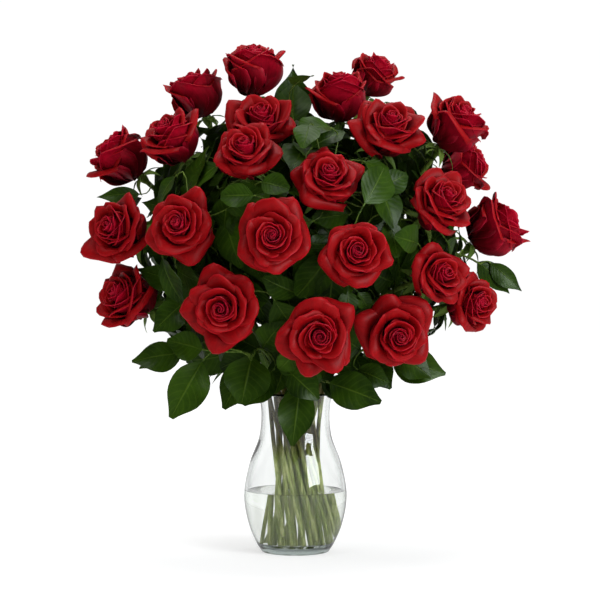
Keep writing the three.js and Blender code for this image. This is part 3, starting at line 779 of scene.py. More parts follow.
# %% [markdown]
# ## Blooms
# A rose's petals follow each other round the bloom by two fifths of a turn, so five make a whorl, and each
# whorl turns half a gap on. From the outside to the heart they get narrower and stand up straighter. Each
# petal rises in one arc and curls over in a second one, and lies with one edge over its neighbour. An outer
# petal is cupped on its own, and one of the heart wraps round the bloom's axis. In a bloom that is less open
# the outer petals stand up too and curl over at the rim only. Geometry Nodes suit this: all the petals share
# one formula of their number.

# %% A petal's angles
PETALS_IN_WHORL = 5
FIRST_TURN, PETAL_TURN, WHORL_TURN = math.radians(18), math.radians(144), math.radians(36)
# angles from the bloom's axis: at the outermost petal, and how much they change up to the heart
ROOT_CLOSED, ROOT_OPEN = (38, -30), (46, -38)
MIDDLE_CLOSED, TIP_CLOSED = (4, -16), (26, -40)
# angles of a petal in the heart of an open bloom, and how much wider the outermost petal lies
MIDDLE_OPEN, TIP_OPEN = (-10, 38), (-6, 150)
CORNER_CURL = 1.1


def turn_of_petal(tree, petal, odd):
    """How far a petal is turned round the bloom's axis."""
    whorl = tree.floor(petal / PETALS_IN_WHORL)
    return FIRST_TURN + petal * PETAL_TURN + whorl * WHORL_TURN + odd(0.2, 4)


def angles_of_petal(side, inward, opening, odd):
    """The angles of the petal from the bloom's axis, at its root, at its bend and at its tip."""
    outward = 1 - inward

    def degrees(start, change):
        return math.radians(start) + inward * math.radians(change)

    def widened(heart, wider, power):
        return math.radians(heart) + outward ** power * math.radians(wider)

    def opened(closed, wide):
        return closed + (wide - closed) * opening

    root = opened(degrees(*ROOT_CLOSED), degrees(*ROOT_OPEN))
    middle = opened(degrees(*MIDDLE_CLOSED), widened(*MIDDLE_OPEN, 3))
    tip = opened(degrees(*TIP_CLOSED), widened(*TIP_OPEN, 1.9))
    middle = middle + odd(0.1, 1) * (0.3 + outward)
    tip = tip + odd(0.5, 2) * outward + 0.05
    return root, middle, tip + (side ** 1.3) * outward * CORNER_CURL


# %% A petal's shape
PETAL_BROADEST = 0.62
# in radii of the bloom: how long and wide the outermost petal is, and how far from the axis it starts
PETAL_LENGTH, PETAL_WIDTH, PETAL_START = 1.36, 1.52, 0.12


def rise_of_petal(tree, side, v, inward, angles, bend, odd):
    """How far out from the axis and how high a point lies: two arcs, of which the second curls over."""
    radius = tree.inputs["Radius"]
    root, middle, tip = angles
    length = radius * (PETAL_LENGTH - inward * 0.3) * (1 + odd(0.09, 3))
    length = length * (1 - (side ** 1.3) * (0.34 - inward * 0.22))
    first = root + (middle - root) * tree.least(v / bend, 1)
    second = middle + (tip - middle) * tree.most((v - bend) / (1 - bend), 0)
    rise, over = length * bend / (middle - root), length * (1 - bend) / (tip - middle)
    out = (radius * (PETAL_START - inward * 0.085)
           + rise * (tree.cos(root) - tree.cos(first)) + over * (tree.cos(middle) - tree.cos(second)))
    height = (radius * inward * 0.14
              + rise * (tree.sin(first) - tree.sin(root)) + over * (tree.sin(second) - tree.sin(middle)))
    return out, height


def cup_of_petal(tree, u, v, petal, inward, out, height):
    """The point across a cup with one edge further out. In the heart the cup lies round the bloom's axis."""
    radius, outward = tree.inputs["Radius"], 1 - inward
    broad = tree.least(v / PETAL_BROADEST, 1)
    share = 0.15 + 0.85 * tree.sin(broad * math.pi / 2)
    width = radius * (PETAL_WIDTH - inward * 0.6 - inward * inward * 0.55)
    cup = radius * (0.07 + outward ** 1.1 * 0.78)
    cup = cup + (tree.most(out, radius * 0.04) - cup) * tree.ramp(inward, 0.2, 0.6)
    across = u * share * width / 2 / cup
    ruffle = tree.vector(u * 1.3, v * 1.1, petal * 3.7 + tree.inputs["Seed"] * 7.3)
    wave = tree.noise(ruffle, 1.0, 1.0) - 0.5
    wave = wave * radius * tree.inputs["Ruffle"] * 8 * v * v * (0.25 + outward)
    spiral = cup + radius * (0.03 + outward * 0.07) * u + wave
    return out - cup + spiral * tree.cos(across), spiral * tree.sin(across), height + wave * 0.5


# %% The tree of petals
PETALS = 35
PETAL_COLUMNS = 12
PETAL_ROWS = 16


def petal_tree():
    tree = GrowingTree("rose petals", {
        "Petals": PETALS, "Radius": 0.045, "Opening": 1.0, "Thickness": 0.0005, "Ruffle": 0.045, "Seed": 1})
    points = tree.add("GeometryNodeMeshLine", {}, {"Count": tree.inputs["Petals"], "Offset": (0, 0, 0)})
    points = tree.store(points, "petal", tree.add("GeometryNodeInputIndex"))
    flat = tree.sheets(points, PETAL_COLUMNS, PETAL_ROWS)
    petal = tree.attribute("petal")
    u, row, _ = tree.parts(tree.add("GeometryNodeInputPosition"))
    # Rows lie closer together towards the tip, where the petal curls.
    v = row * (1.35 - row * 0.35)
    flat = tree.store(flat, "sheet", tree.vector(u, v, petal / PETALS), "FLOAT_VECTOR")
    inward, opening = petal / (tree.inputs["Petals"] - 1), tree.inputs["Opening"]

    def odd(amount, number):
        return tree.random(-amount, amount, petal, tree.inputs["Seed"] + number)

    side, bend = abs(u), 0.6 + inward * 0.33 + (1 - inward) * (1 - opening) * 0.5
    angles = angles_of_petal(side, inward, opening, odd)
    out, height = rise_of_petal(tree, side, v, inward, angles, bend, odd)
    x, y, z = cup_of_petal(tree, u, v, petal, inward, out, height)
    turn = turn_of_petal(tree, petal, odd)
    shaped = tree.add("GeometryNodeSetPosition", {}, {
        "Geometry": flat,
        "Position": tree.vector(x * tree.cos(turn) - y * tree.sin(turn),
                                x * tree.sin(turn) + y * tree.cos(turn), z)})
    tree.finish(tree.thick(shaped, tree.inputs["Thickness"], petal_back, petal_face))
    return tree.tree


petals = petal_tree()
print("nodes in the tree of petals:", len(petals.nodes))

# %% The blooms
CLOSED_GROWTH = 0.18


def bloom_place(k):
    """The bloom's axis along its facing and its bottom on the stem's end, each spun further round."""
    point, along = stem_ends[k]
    side = unit(np.cross([0, 0, 1], along))
    columns = np.column_stack([side, np.cross(along, side), along, point * MM])
    place = Matrix([list(row) for row in columns] + [[0, 0, 0, 1]])
    return place @ Matrix.Rotation(k * GOLDEN_ANGLE, 4, "Z")


for k, (*_, diameter, opening) in enumerate(ROSES):
    start = bpy.data.meshes.new("start")
    radius = diameter / 2 * MM * (1 + CLOSED_GROWTH * (1 - opening))
    piece = grown(f"petals_{k + 1:02d}", start, petals, radius=radius, opening=float(opening), seed=k + 1)
    piece.data.transform(bloom_place(k))
    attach(piece, "root")
    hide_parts(f"bloom_{k + 1:02d}")
print("faces of the last bloom:", len(piece.data.polygons))

# %% [markdown]
# ## Finish of the leaves
# The broad leaves of florists' foliage are leathery: dark, waxy on top, matt and paler below. Rose leaflets
# are thinner and lighter, with a toothed edge. Both have a pale midrib with side veins that curve forward,
# and the blade bulges between them. One recipe makes all of them, and the sepals too, from where a point
# lies across and along its leaf.

# %% Leaves and sepals
VEIN_SWEEP = 0.22
VEIN_WIDTH = (0.02, 0.16)
MIDRIB_WIDTH = (0.02, 0.07)
VEIN_SHARE = 0.45


def leaf_finish(name, dark, light, vein, roughness, coat, vein_count, vein_depth):
    finish = Finish(name)
    u, v, which = finish.sheet()
    side = abs(u)
    climb = (v - (side ** 1.3) * VEIN_SWEEP) * vein_count
    to_vein = abs(climb % 1 - 0.5)
    ribs = 1 - finish.ramp(to_vein, *VEIN_WIDTH)
    midrib = 1 - finish.ramp(side, *MIDRIB_WIDTH)
    faded = 1 - finish.ramp(side, 0.75, 1.0)
    lines = finish.most(ribs * 0.3 * faded, midrib)
    net = finish.noise(finish.place, 420.0, 3.0)
    cloud = finish.noise(finish.place, 38.0, 2.0)
    each = finish.noise(finish.vector(which * 53.0, 0.0, 0.0), 1.0, 0.0)
    shade = finish.ramp(cloud * 0.7 + each * 0.9 + net * 0.15, 0.55, 1.2)
    colour = finish.blend(finish.blend(dark, light, shade), vein, lines * VEIN_SHARE)
    bulge = to_vein * 0.55 + net * 0.3 + midrib * 0.9
    return finish.shade(
        Base_Color=colour, Roughness=roughness + (net - 0.5) * 0.2, Specular_IOR_Level=0.07,
        Coat_Weight=coat, Coat_Roughness=0.25, Normal=finish.relief(bulge, vein_depth))


leaf_face = leaf_finish(
    "leaf_face", dark=(0.005, 0.016, 0.0006, 1), light=(0.030, 0.070, 0.003, 1),
    vein=(0.08, 0.14, 0.012, 1), roughness=0.4, coat=0.05, vein_count=9, vein_depth=0.0006)
leaf_back = leaf_finish(
    "leaf_back", dark=(0.02, 0.045, 0.004, 1), light=(0.055, 0.105, 0.010, 1),
    vein=(0.10, 0.16, 0.025, 1), roughness=0.6, coat=0.0, vein_count=9, vein_depth=0.0005)
rose_leaf_face = leaf_finish(
    "rose_leaf_face", dark=(0.008, 0.024, 0.001, 1), light=(0.042, 0.095, 0.004, 1),
    vein=(0.08, 0.14, 0.012, 1), roughness=0.44, coat=0.03, vein_count=8, vein_depth=0.0005)
rose_leaf_back = leaf_finish(
    "rose_leaf_back", dark=(0.025, 0.055, 0.005, 1), light=(0.07, 0.13, 0.014, 1),
    vein=(0.10, 0.16, 0.03, 1), roughness=0.65, coat=0.0, vein_count=8, vein_depth=0.0004)
sepal_face = leaf_finish(
    "sepal_face", dark=(0.04, 0.09, 0.012, 1), light=(0.15, 0.23, 0.04, 1),
    vein=(0.22, 0.28, 0.08, 1), roughness=0.5, coat=0.0, vein_count=5, vein_depth=0.0003)
print("finishes of leaves:", leaf_face.name, leaf_back.name, rose_leaf_face.name, rose_leaf_back.name)

# %% [markdown]
# ## Finish of the stems
# Below the rim a stem is stripped of its leaves and pale green, and some are darker than others. The pale
# green is partly painted light, for light that the glass keeps from the stems. In the neck patches of them
# are dark brown. Above the rim they are green. The height above the floor chooses between these, and noise
# that is drawn out along the stem makes its streaks.

# %% Stems
# heights in metres between which each sets in or fades out
BROWN_BEGINS, BROWN_ENDS = (0.10, 0.14), (0.19, 0.22)
LEAFY_BEGINS, TINGE_BEGINS = (0.17, 0.22), (0.2, 0.3)
BROWN_SHARE = 0.85
TINGE_SHARE = 0.2
STREAK_CONTRAST = (0.3, 0.75)
STEM_RELIEF = 0.0003


def stem_finish():
    finish = Finish("stem_skin")
    x, y, z = finish.parts(finish.place)
    streaks = finish.noise(finish.vector(x * 400, y * 400, z * 14), 1.0, 3.0)
    spots = finish.noise(finish.place, 26.0, 2.0)
    each = finish.noise(finish.vector(x * 120, y * 120, z * 6), 1.0, 1.0)
    pores = finish.noise(finish.place, 900.0, 2.0)
    # Dark brown in patches round the neck, and a faint brown tinge higher up.
    in_neck = finish.ramp(z, *BROWN_BEGINS) * (1 - finish.ramp(z, *BROWN_ENDS))
    tinge = finish.ramp(z, *TINGE_BEGINS) * TINGE_SHARE
    brown = finish.ramp(spots, 0.3, 0.5) * (in_neck * BROWN_SHARE + tinge)
    streaked = finish.ramp(streaks, *STREAK_CONTRAST)
    # Partly painted light: below the rim the stems are pale, for light that the glass keeps from them.
    pale = finish.blend((0.30, 0.38, 0.09, 1), (0.66, 0.70, 0.32, 1), streaked)
    pale = finish.blend(pale, (0.14, 0.20, 0.04, 1), finish.ramp(each, 0.45, 0.65) * 0.6)
    leafy = finish.blend((0.05, 0.10, 0.012, 1), (0.15, 0.24, 0.04, 1), streaked)
    colour = finish.blend(pale, leafy, finish.ramp(z, *LEAFY_BEGINS))
    return finish.shade(
        Base_Color=finish.blend(colour, (0.065, 0.032, 0.006, 1), brown),
        Roughness=0.42 + (streaks - 0.5) * 0.3, Specular_IOR_Level=0.1,
        Normal=finish.relief(streaks * 0.7 + pores * 0.3, STEM_RELIEF))


stem_skin = stem_finish()
print("finish of the stems:", stem_skin.name)

# %% [markdown]
# ## Stems, leaves and sepals
# A stem is a line with a radius at each point, swept by a circle. A leaf is a sheet bent by a formula: its
# midrib droops in an arc, its two halves fold up like a book, and its margin waves. A sketch holds both as
# one plain mesh: edges are stems and stalks, loose points are leaves, and attributes say the rest. Geometry
# Nodes grow the sketch, so every stem and every leaf follows the same rule.

# %% Leaves in the tree of a leafy stem
LEAF_COLUMNS = 6
LEAF_ROWS = 14
SMOOTH, TOOTHED, SEPAL = 1.0, 2.0, 3.0
# a full turn in radians and a little more
FULL_TURN = 6.3
TIP_FROM = 0.55
WAVES_ALONG = 11


def grow_leaves(tree, mesh, kind, stalk, teeth, power, point, upper, lower):
    """The leaves of one kind, by their stalk's share of the length, depth of teeth, outline and tip."""
    wanted = abs(tree.attribute("kind") - kind) < 0.5
    points = tree.add("GeometryNodeMeshToPoints", {}, {"Mesh": mesh, "Selection": wanted})
    points = tree.store(points, "origin", tree.add("GeometryNodeInputPosition"), "FLOAT_VECTOR")
    points = tree.store(points, "number", tree.add("GeometryNodeInputIndex"))
    points = tree.add("GeometryNodeSetPosition", {}, {"Geometry": points, "Position": (0, 0, 0)})
    flat = tree.sheets(points, LEAF_COLUMNS, LEAF_ROWS)
    u, v, _ = tree.parts(tree.add("GeometryNodeInputPosition"))
    number = tree.attribute("number")
    flat = tree.store(flat, "sheet", tree.vector(u, v, number * 0.137), "FLOAT_VECTOR")
    length, width, droop = tree.attribute("length"), tree.attribute("width"), tree.attribute("droop")

    blade = tree.most((v - stalk) / (1 - stalk), 0)
    broad = tree.sin((blade ** power) * math.pi) * (1 - tree.ramp(blade, TIP_FROM, 1.0) * point)
    tooth = (v * LEAF_ROWS + 0.5) % 2 > 1
    half = width / 2 * broad * (1 - tooth * teeth) + tree.inputs["Stalk radius"] * (1 - v)
    side = abs(u)
    y = u * half
    phase = tree.random(0.0, FULL_TURN, number, tree.inputs["Seed"])
    wave = tree.sin(v * WAVES_ALONG + phase + u) * side * side * width * tree.inputs["Wave"] * broad
    fold = abs(y) * LEAF_FOLD
    bend = droop * v
    reach = length / droop
    x = (reach + fold) * tree.sin(bend)
    z = fold * tree.cos(bend) - reach * (1 - tree.cos(bend)) + wave
    along, face = tree.attribute("along", "FLOAT_VECTOR"), tree.attribute("face", "FLOAT_VECTOR")
    across = tree.add("ShaderNodeVectorMath", {"operation": "CROSS_PRODUCT"}, {0: along, 1: face})
    place = tree.sum(tree.attribute("origin", "FLOAT_VECTOR"), tree.scaled(along, x),
                     tree.scaled(face, z), tree.scaled(across, y))
    bent = tree.add("GeometryNodeSetPosition", {}, {"Geometry": flat, "Position": place})
    return tree.thick(bent, tree.inputs["Leaf thickness"], upper, lower)


# %% Stems in the tree of a leafy stem
KNOT_SCALE = 60.0


def grow_stems(tree, mesh):
    """The lines of the sketch, and tubes along them that swell a little here and there."""
    lines = tree.add("GeometryNodeMeshToCurve", {}, {"Mesh": mesh})
    circle = tree.add("GeometryNodeCurvePrimitiveCircle", {}, {
        "Resolution": tree.inputs["Sides"], "Radius": 1.0})
    swelling = tree.noise(tree.add("GeometryNodeInputPosition"), KNOT_SCALE) - 0.5
    tubes = tree.add("GeometryNodeCurveToMesh", {}, {
        "Curve": lines, "Profile Curve": circle, "Fill Caps": True,
        "Scale": tree.attribute("radius") * (1 + swelling * tree.inputs["Unevenness"])})
    return lines, tree.add("GeometryNodeSetMaterial", {}, {"Geometry": tubes, "Material": stem_skin})


# %% Prickles in the tree of a leafy stem
LOWEST_PRICKLE = 0.21
THICK_SHARE = 0.8
WITHOUT_PRICKLE = 0.4
PRICKLE_HOOK = math.radians(108)
# radii at the tip and at the root, as shares of the length
PRICKLE_TIP, PRICKLE_ROOT = 0.04, 0.42
PRICKLE_SIDES = 6
FLATTENED = (1.0, 0.5, 1.0)


def grow_prickles(tree, lines):
    """Hooked prickles at even steps on the thick part of the stem, each turned at random."""
    size, seed = tree.inputs["Prickle size"], tree.inputs["Seed"]
    cone = tree.add("GeometryNodeMeshCone", {}, {
        "Vertices": PRICKLE_SIDES, "Radius Top": size * PRICKLE_TIP, "Radius Bottom": size * PRICKLE_ROOT,
        "Depth": size})
    thick = tree.inputs["Stem radius"] * THICK_SHARE
    hooked = tree.add("GeometryNodeTransform", {}, {
        "Geometry": cone, "Rotation": (0, PRICKLE_HOOK, 0), "Translation": tree.vector(thick, 0, 0),
        "Scale": FLATTENED})
    spots = tree.add("GeometryNodeCurveToPoints", {"mode": "LENGTH"}, {
        "Curve": lines, "Length": tree.inputs["Prickle spacing"]})
    index = tree.add("GeometryNodeInputIndex")
    height = tree.parts(tree.add("GeometryNodeInputPosition"))[2]
    wanted = ((tree.attribute("radius") > thick) * (height > LOWEST_PRICKLE)
              * (tree.random(0.0, 1.0, index, seed + 3) > WITHOUT_PRICKLE))
    turn = tree.vector(0, 0, tree.random(0.0, FULL_TURN, index, seed + 4))
    rotation = tree.add("FunctionNodeRotateRotation", {"rotation_space": "LOCAL"}, {
        "Rotation": spots["Rotation"], "Rotate By": turn})
    prickles = tree.add("GeometryNodeInstanceOnPoints", {}, {
        "Points": spots, "Selection": wanted, "Instance": hooked, "Rotation": rotation})
    prickles = tree.add("GeometryNodeRealizeInstances", {}, {"Geometry": prickles})
    return tree.add("GeometryNodeSetMaterial", {}, {"Geometry": prickles, "Material": stem_skin})


# %% The tree of a leafy stem
def leafy_stem_tree():
    tree = GrowingTree("leafy stem", {
        "Sides": 12, "Stem radius": 0.0029, "Unevenness": 0.35, "Leaf thickness": 0.0004,
        "Stalk radius": 0.0007, "Wave": 0.05, "Prickle spacing": 0.021, "Prickle size": 0.0048, "Seed": 1})
    mesh = tree.inputs["Geometry"]
    lines, tubes = grow_stems(tree, mesh)
    leaves = grow_leaves(tree, mesh, SMOOTH, stalk=0.07, teeth=0.0, power=OVATE_POWER, point=0.5,
                         upper=leaf_face, lower=leaf_back)
    leaflets = grow_leaves(tree, mesh, TOOTHED, stalk=0.02, teeth=0.1, power=0.72, point=0.3,
                           upper=rose_leaf_face, lower=rose_leaf_back)
    sepals = grow_leaves(tree, mesh, SEPAL, stalk=0.0, teeth=0.0, power=0.45, point=0.0,
                         upper=sepal_face, lower=sepal_face)
    whole = [tubes, grow_prickles(tree, lines), leaves, leaflets, sepals]
    tree.finish(tree.add("GeometryNodeJoinGeometry", {}, {"Geometry": whole}))
    return tree.tree


leafy_stem = leafy_stem_tree()
print("nodes in the tree of a leafy stem:", len(leafy_stem.nodes))

# %% [markdown]
# ## Sketches of the stems
# A rose's own leaf is a stalk with one leaflet at its end and two pairs at its sides, and a leaf of the
# foliage has one blade on a short stalk. Five sepals fold back under each bloom. A sketch only lists where
# all of these start and which way they go, so that plain sums can place them before anything is grown.

# %% Sketches
class Sketch:
    """The starting mesh of a leafy stem: lines with radii, and a loose point for each leaf."""

    NUMBERS = ("radius", "kind", "length", "width", "droop")
    WAYS = ("along", "face")

    def __init__(self):
        self.points, self.edges = [], []
        self.facts = {name: [] for name in self.NUMBERS + self.WAYS}

    def point(self, place, **facts):
        self.points.append(np.asarray(place) * MM)
        for name in self.NUMBERS:
            self.facts[name].append(facts.get(name, 0.0))
        for name in self.WAYS:
            self.facts[name].append(facts.get(name, np.zeros(3)))
        return len(self.points) - 1

    def line(self, places, radii):
        knots = [self.point(place, radius=radius * MM) for place, radius in zip(places, radii)]
        self.edges.extend(zip(knots, knots[1:]))

    def leaf(self, kind, leaf, length, width, droop=LEAF_DROOP):
        origin, along, face, _ = leaf
        self.point(origin, kind=kind, along=along, face=face, length=length * MM, width=width * MM,
                   droop=droop)

    def mesh(self):
        mesh = bpy.data.meshes.new("sketch")
        mesh.from_pydata([tuple(point) for point in self.points], self.edges, [])
        for name in self.NUMBERS:
            mesh.attributes.new(name, "FLOAT", "POINT").data.foreach_set("value", self.facts[name])
        for name in self.WAYS:
            ways = np.array(self.facts[name], np.float32).ravel()
            mesh.attributes.new(name, "FLOAT_VECTOR", "POINT").data.foreach_set("vector", ways)
        return mesh


# %% Leaves on a sketch
STALK_RADII = (1.1, 0.8, 0.6, 0.4)
STALK_SHARES = (0, 0.05, 0.12, 0.4)
STALK_SUNK = 0.3
LEAFLET_STALK_SHARES = (0, 0.35, 0.7, 1.05)
ROSE_LEAF_LENGTH = 84
# x of the leaflet's root, x and y of its tip, and its width, all on a leaf 84 mm long
LEAFLETS = ((27, 30, 31, 19), (14, 13, 24, 15))
# x of the root and of the tip, and the width
END_LEAFLET = (44, 84, 30)
LEAFLET_DROOP = 0.35


def sketch_smooth_leaf(sketch, leaf, length, width):
    places = [leaf_point(leaf, length, length * share, 0) - leaf[2] * STALK_SUNK for share in STALK_SHARES]
    sketch.line(places, STALK_RADII)
    sketch.leaf(SMOOTH, leaf, length, width)


def sketch_rose_leaf(sketch, leaf, length, _):
    """A stalk with an end leaflet and two pairs of side leaflets."""
    scale = length / ROSE_LEAF_LENGTH
    _, along, face, _ = leaf

    def at(x, y):
        return leaf_point(leaf, length, x * scale, y * scale)

    def upper(x):
        bend = LEAF_DROOP * x * scale / length
        return along * math.sin(bend) + face * math.cos(bend)

    root, tip, width = END_LEAFLET
    sketch.line([at(root * share, 0) for share in LEAFLET_STALK_SHARES], STALK_RADII)
    sketch.leaf(TOOTHED, leaf_frame(at(root, 0), unit(at(tip, 0) - at(root, 0)), upper(root)),
                (tip - root) * scale, width * scale)
    for root, tip_x, tip_y, width in LEAFLETS:
        for side in (-1, 1):
            base, end = at(root, 0), at(tip_x, side * tip_y)
            sketch.leaf(TOOTHED, leaf_frame(base, unit(end - base), upper(root)),
                        np.linalg.norm(end - base), width * scale, LEAFLET_DROOP)


# %% Sepals on a sketch
SEPALS = 5
# how far below the bloom's bottom, and how far from its axis, a sepal starts
SEPAL_START = (3, 5.6)
# how far out and how far down its tip lies, in diameters of the bloom
SEPAL_REACH, SEPAL_DROP = 0.32, 0.2
SEPAL_WIDTH = 8
SEPAL_DROOP = 0.9
DROOPED_SEPAL = 1.04


def sketch_sepals(sketch, point, along, diameter, spin):
    down, off = SEPAL_START
    side = unit(np.cross([0, 0, 1], along))
    up = np.cross(along, side)
    for k in range(SEPALS):
        angle = spin + 2 * math.pi * k / SEPALS
        out = side * math.cos(angle) + up * math.sin(angle)
        root = point - along * down + out * off
        tip = point + out * SEPAL_REACH * diameter - along * SEPAL_DROP * diameter
        chord = unit(tip - root)
        rise = unit(along - chord * np.dot(along, chord))
        half = SEPAL_DROOP / 2
        first = chord * math.cos(half) + rise * math.sin(half)
        length = np.linalg.norm(tip - root) * DROOPED_SEPAL
        sketch.leaf(SEPAL, leaf_frame(root, first, rise), length, SEPAL_WIDTH, SEPAL_DROOP)


# %% [markdown]
# ## Growing the stems
# A rose is cut with one long stem that swells into a cup under its bloom. Each stem follows its path, a
# little thinner in the vase than above it, and takes along its leaves and the twigs of the leaves that hang
# on it. The stems of the foliage are thinner still, have no prickles and taper to their last leaf.

# %% Growing the roses' stems
STEM_RADIUS = 2.9
RADIUS_IN_VASE = 2.5
TWIG_RADII = (1.2, 1.1, 1.0, 0.9, 0.8, 0.7, 0.6)
BEND_POINTS = 26
# depth below the bloom, and radius, of the cup at the stem's end
CUP = ((19, 2.9), (13, 3.3), (9.5, 4.8), (6.5, 6.0), (3, 6.3), (0.3, 5.8))
ABOVE_CUP = 4


def stem_line(path, end_trim=0.0):
    bend = [path.bend(k / BEND_POINTS) for k in range(BEND_POINTS + 1)]
    if end_trim:
        bend = [place for place in bend if np.linalg.norm(place - path.point) > end_trim]
    return [path.foot] + [path.at(share) for share in (0.25, 0.5, 0.75)] + bend


for k, (*_, diameter, _) in enumerate(ROSES):
    path, (point, along) = stem_paths[k], stem_ends[k]
    sketch = Sketch()
    body = stem_line(path, end_trim=CUP[0][0] + ABOVE_CUP)
    cup = [point - along * depth for depth, _ in CUP]
    radii = [RADIUS_IN_VASE if place[2] <= NECK_HEIGHT else STEM_RADIUS for place in body]
    sketch.line(body + cup, radii + [radius for _, radius in CUP])
    sketch_sepals(sketch, point, along, diameter, k * GOLDEN_ANGLE)
    on_twigs = len(leaves_on[k]) - len(twigs_on[k])
    for leaf in leaves_on[k][:on_twigs]:
        sketch_rose_leaf(sketch, *leaf)
    for leaf in leaves_on[k][on_twigs:]:
        sketch_smooth_leaf(sketch, *leaf)
    for line in twigs_on[k]:
        sketch.line(line, TWIG_RADII)
    piece = grown(f"rose_stem_leaves_{k + 1:02d}", sketch.mesh(), leafy_stem, seed=k + 1)
    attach(piece, "root")
    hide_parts(f"rose_stem_{k + 1:02d}")
print("faces of the last rose's stem:", len(piece.data.polygons))

# %% Growing the sprays
SPRAY_RADIUS = 1.9
SPRAY_TIP_RADIUS = 1.2
TAPER_FROM = 10
# smaller than can be seen, and further apart than a spray is long
NO_PRICKLES = dict(prickle_size=0.0001, prickle_spacing=1.0)

for k in range(len(SPRAYS)):
    stem = len(ROSES) + k
    sketch = Sketch()
    body = stem_line(stem_paths[stem])
    tapered = [max(0, (step - TAPER_FROM) / (len(body) - 1 - TAPER_FROM)) for step in range(len(body))]
    sketch.line(body, [SPRAY_RADIUS + (SPRAY_TIP_RADIUS - SPRAY_RADIUS) * share for share in tapered])
    for leaf in leaves_on[stem]:
        sketch_smooth_leaf(sketch, *leaf)
    for line in twigs_on[stem]:
        sketch.line(line, TWIG_RADII)
    piece = grown(f"spray_leaves_{k + 1:02d}", sketch.mesh(), leafy_stem, seed=stem + 1, **NO_PRICKLES)
    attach(piece, "root")
    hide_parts(f"spray_{k + 1:02d}")
print("faces of the last spray:", len(piece.data.polygons))

# %% [markdown]
# ## Vase and water
# The vase is a lathe: one outline turned round the axis, outside and inside, with a rounded lip. The water
# fills it to its level and climbs a little up the glass. It reaches a hair into the wall, because light then
# passes from glass to water without a film of air between them.

# %% Outline of the vase
# radius and height of points up the outside, which a smooth line joins
VASE_OUTLINE = [(45, 7), (56, 33), (61.5, 68), (55, 105), (43.5, 137), (41, 165), (43.6, 188)]
OUTLINE_STEPS = 56
WALL = 3.5


def outline_at(share):
    """A point of the smooth line through the outline's points, and the line's direction there."""
    last = len(VASE_OUTLINE) - 1
    k = min(int(share * last), last - 1)
    t = share * last - k
    before, start, end, after = (np.array(VASE_OUTLINE[min(max(k + step, 0), last)], float)
                                 for step in (-1, 0, 1, 2))
    leave, arrive = (end - before) / 2, (after - start) / 2
    cubed = 2 * start - 2 * end + leave + arrive
    squared = 3 * end - 3 * start - 2 * leave - arrive
    point = cubed * t ** 3 + squared * t ** 2 + leave * t + start
    way = cubed * 3 * t ** 2 + squared * 2 * t + leave
    return point, unit(way)


def wall_line(inset):
    points = []
    for step in range(OUTLINE_STEPS + 1):
        point, way = outline_at(step / OUTLINE_STEPS)
        points.append((point[0] - way[1] * inset, point[1] + way[0] * inset))
    return points


outside = wall_line(0)
inside = wall_line(WALL)[2:]
print("points up the outside and the inside:", len(outside), len(inside))

# %% A lathe
VASE_SEGMENTS = 128


def turned(name, outline):
    """A closed lathe about the vertical axis. The outline starts and ends on the axis."""
    mesh = bmesh.new()
    rings = []
    for radius, height in outline[1:-1]:
        rings.append([mesh.verts.new((radius * MM * math.cos(a), radius * MM * math.sin(a), height * MM))
                      for a in (2 * math.pi * k / VASE_SEGMENTS for k in range(VASE_SEGMENTS))])
    poles = [mesh.verts.new((0, 0, height * MM)) for _, height in (outline[0], outline[-1])]
    for k in range(VASE_SEGMENTS):
        after = (k + 1) % VASE_SEGMENTS
        mesh.faces.new((poles[0], rings[0][after], rings[0][k]))
        mesh.faces.new((poles[1], rings[-1][k], rings[-1][after]))
        for lower, upper in zip(rings, rings[1:]):
            mesh.faces.new((lower[k], lower[after], upper[after], upper[k]))
    bmesh.ops.recalc_face_normals(mesh, faces=mesh.faces)
    for face in mesh.faces:
        face.smooth = True
    piece = bpy.data.objects.new(name, bpy.data.meshes.new(name))
    mesh.to_mesh(piece.data)
    mesh.free()
    bpy.context.collection.objects.link(piece)
    return piece


# %% The vase
# radius and height of points of the hollow underside, and of the slope and floor of the bowl
SOLE = [(0, 2.6), (31, 2.2), (34, 0.4), (36, 0)]
BOWL = [(40, 12.2), (35, 10.5), (23, 10), (0, 10)]
HEEL_MIDDLE, HEEL_RADIUS = (39, 2.2), 2.2


def arc(middle, radius, start, end, steps):
    angles = [math.radians(start + (end - start) * k / steps) for k in range(steps + 1)]
    return [(middle[0] + radius * math.cos(a), middle[1] + radius * math.sin(a)) for a in angles]


lip_middle = ((outside[-1][0] + inside[-1][0]) / 2, (outside[-1][1] + inside[-1][1]) / 2)
lip = arc(lip_middle, WALL / 2, 0, 180, 8)
heel = arc(HEEL_MIDDLE, HEEL_RADIUS, -90, -10, 5)
vase_piece = turned("glass_vase", SOLE + heel + outside[1:-1] + lip + inside[::-1] + BOWL)
print("faces of the vase:", len(vase_piece.data.polygons))

# %% The water
WATER_LEVEL = 73
INTO_WALL = 0.12
WATER_FLOOR = [(0, 10 - INTO_WALL), (23, 10 - INTO_WALL), (35, 10.4), (40, 12.1)]
# distance from the water's edge, and how high it has climbed there
CLIMB = ((0, 0.5), (0.3, 0.15), (0.8, 0))

wet = [(radius, height) for radius, height in wall_line(WALL - INTO_WALL)[2:] if height < WATER_LEVEL]
surface = [(wet[-1][0] - away, WATER_LEVEL + climb) for away, climb in CLIMB]
water_piece = turned("water_in_vase", WATER_FLOOR + wet + surface + [(0, WATER_LEVEL)])
print("faces of the water:", len(water_piece.data.polygons))

# %% [markdown]
# ## Finish of the glass and the water
# Pressed glass isn't quite even: its surface waves a little, so what stands behind it bends. It is clear,
# with painted shade where the eye looks along its surface, for the long way light comes through it there;
# the water has a little of the same. Water waves less, and has a hint of green from the stems that stand in
# it. Both take a little out of the light on its way through.

# %% Glass and water
SPECK_SCALE = 700.0
SPECK_ROUGHNESS = 0.06


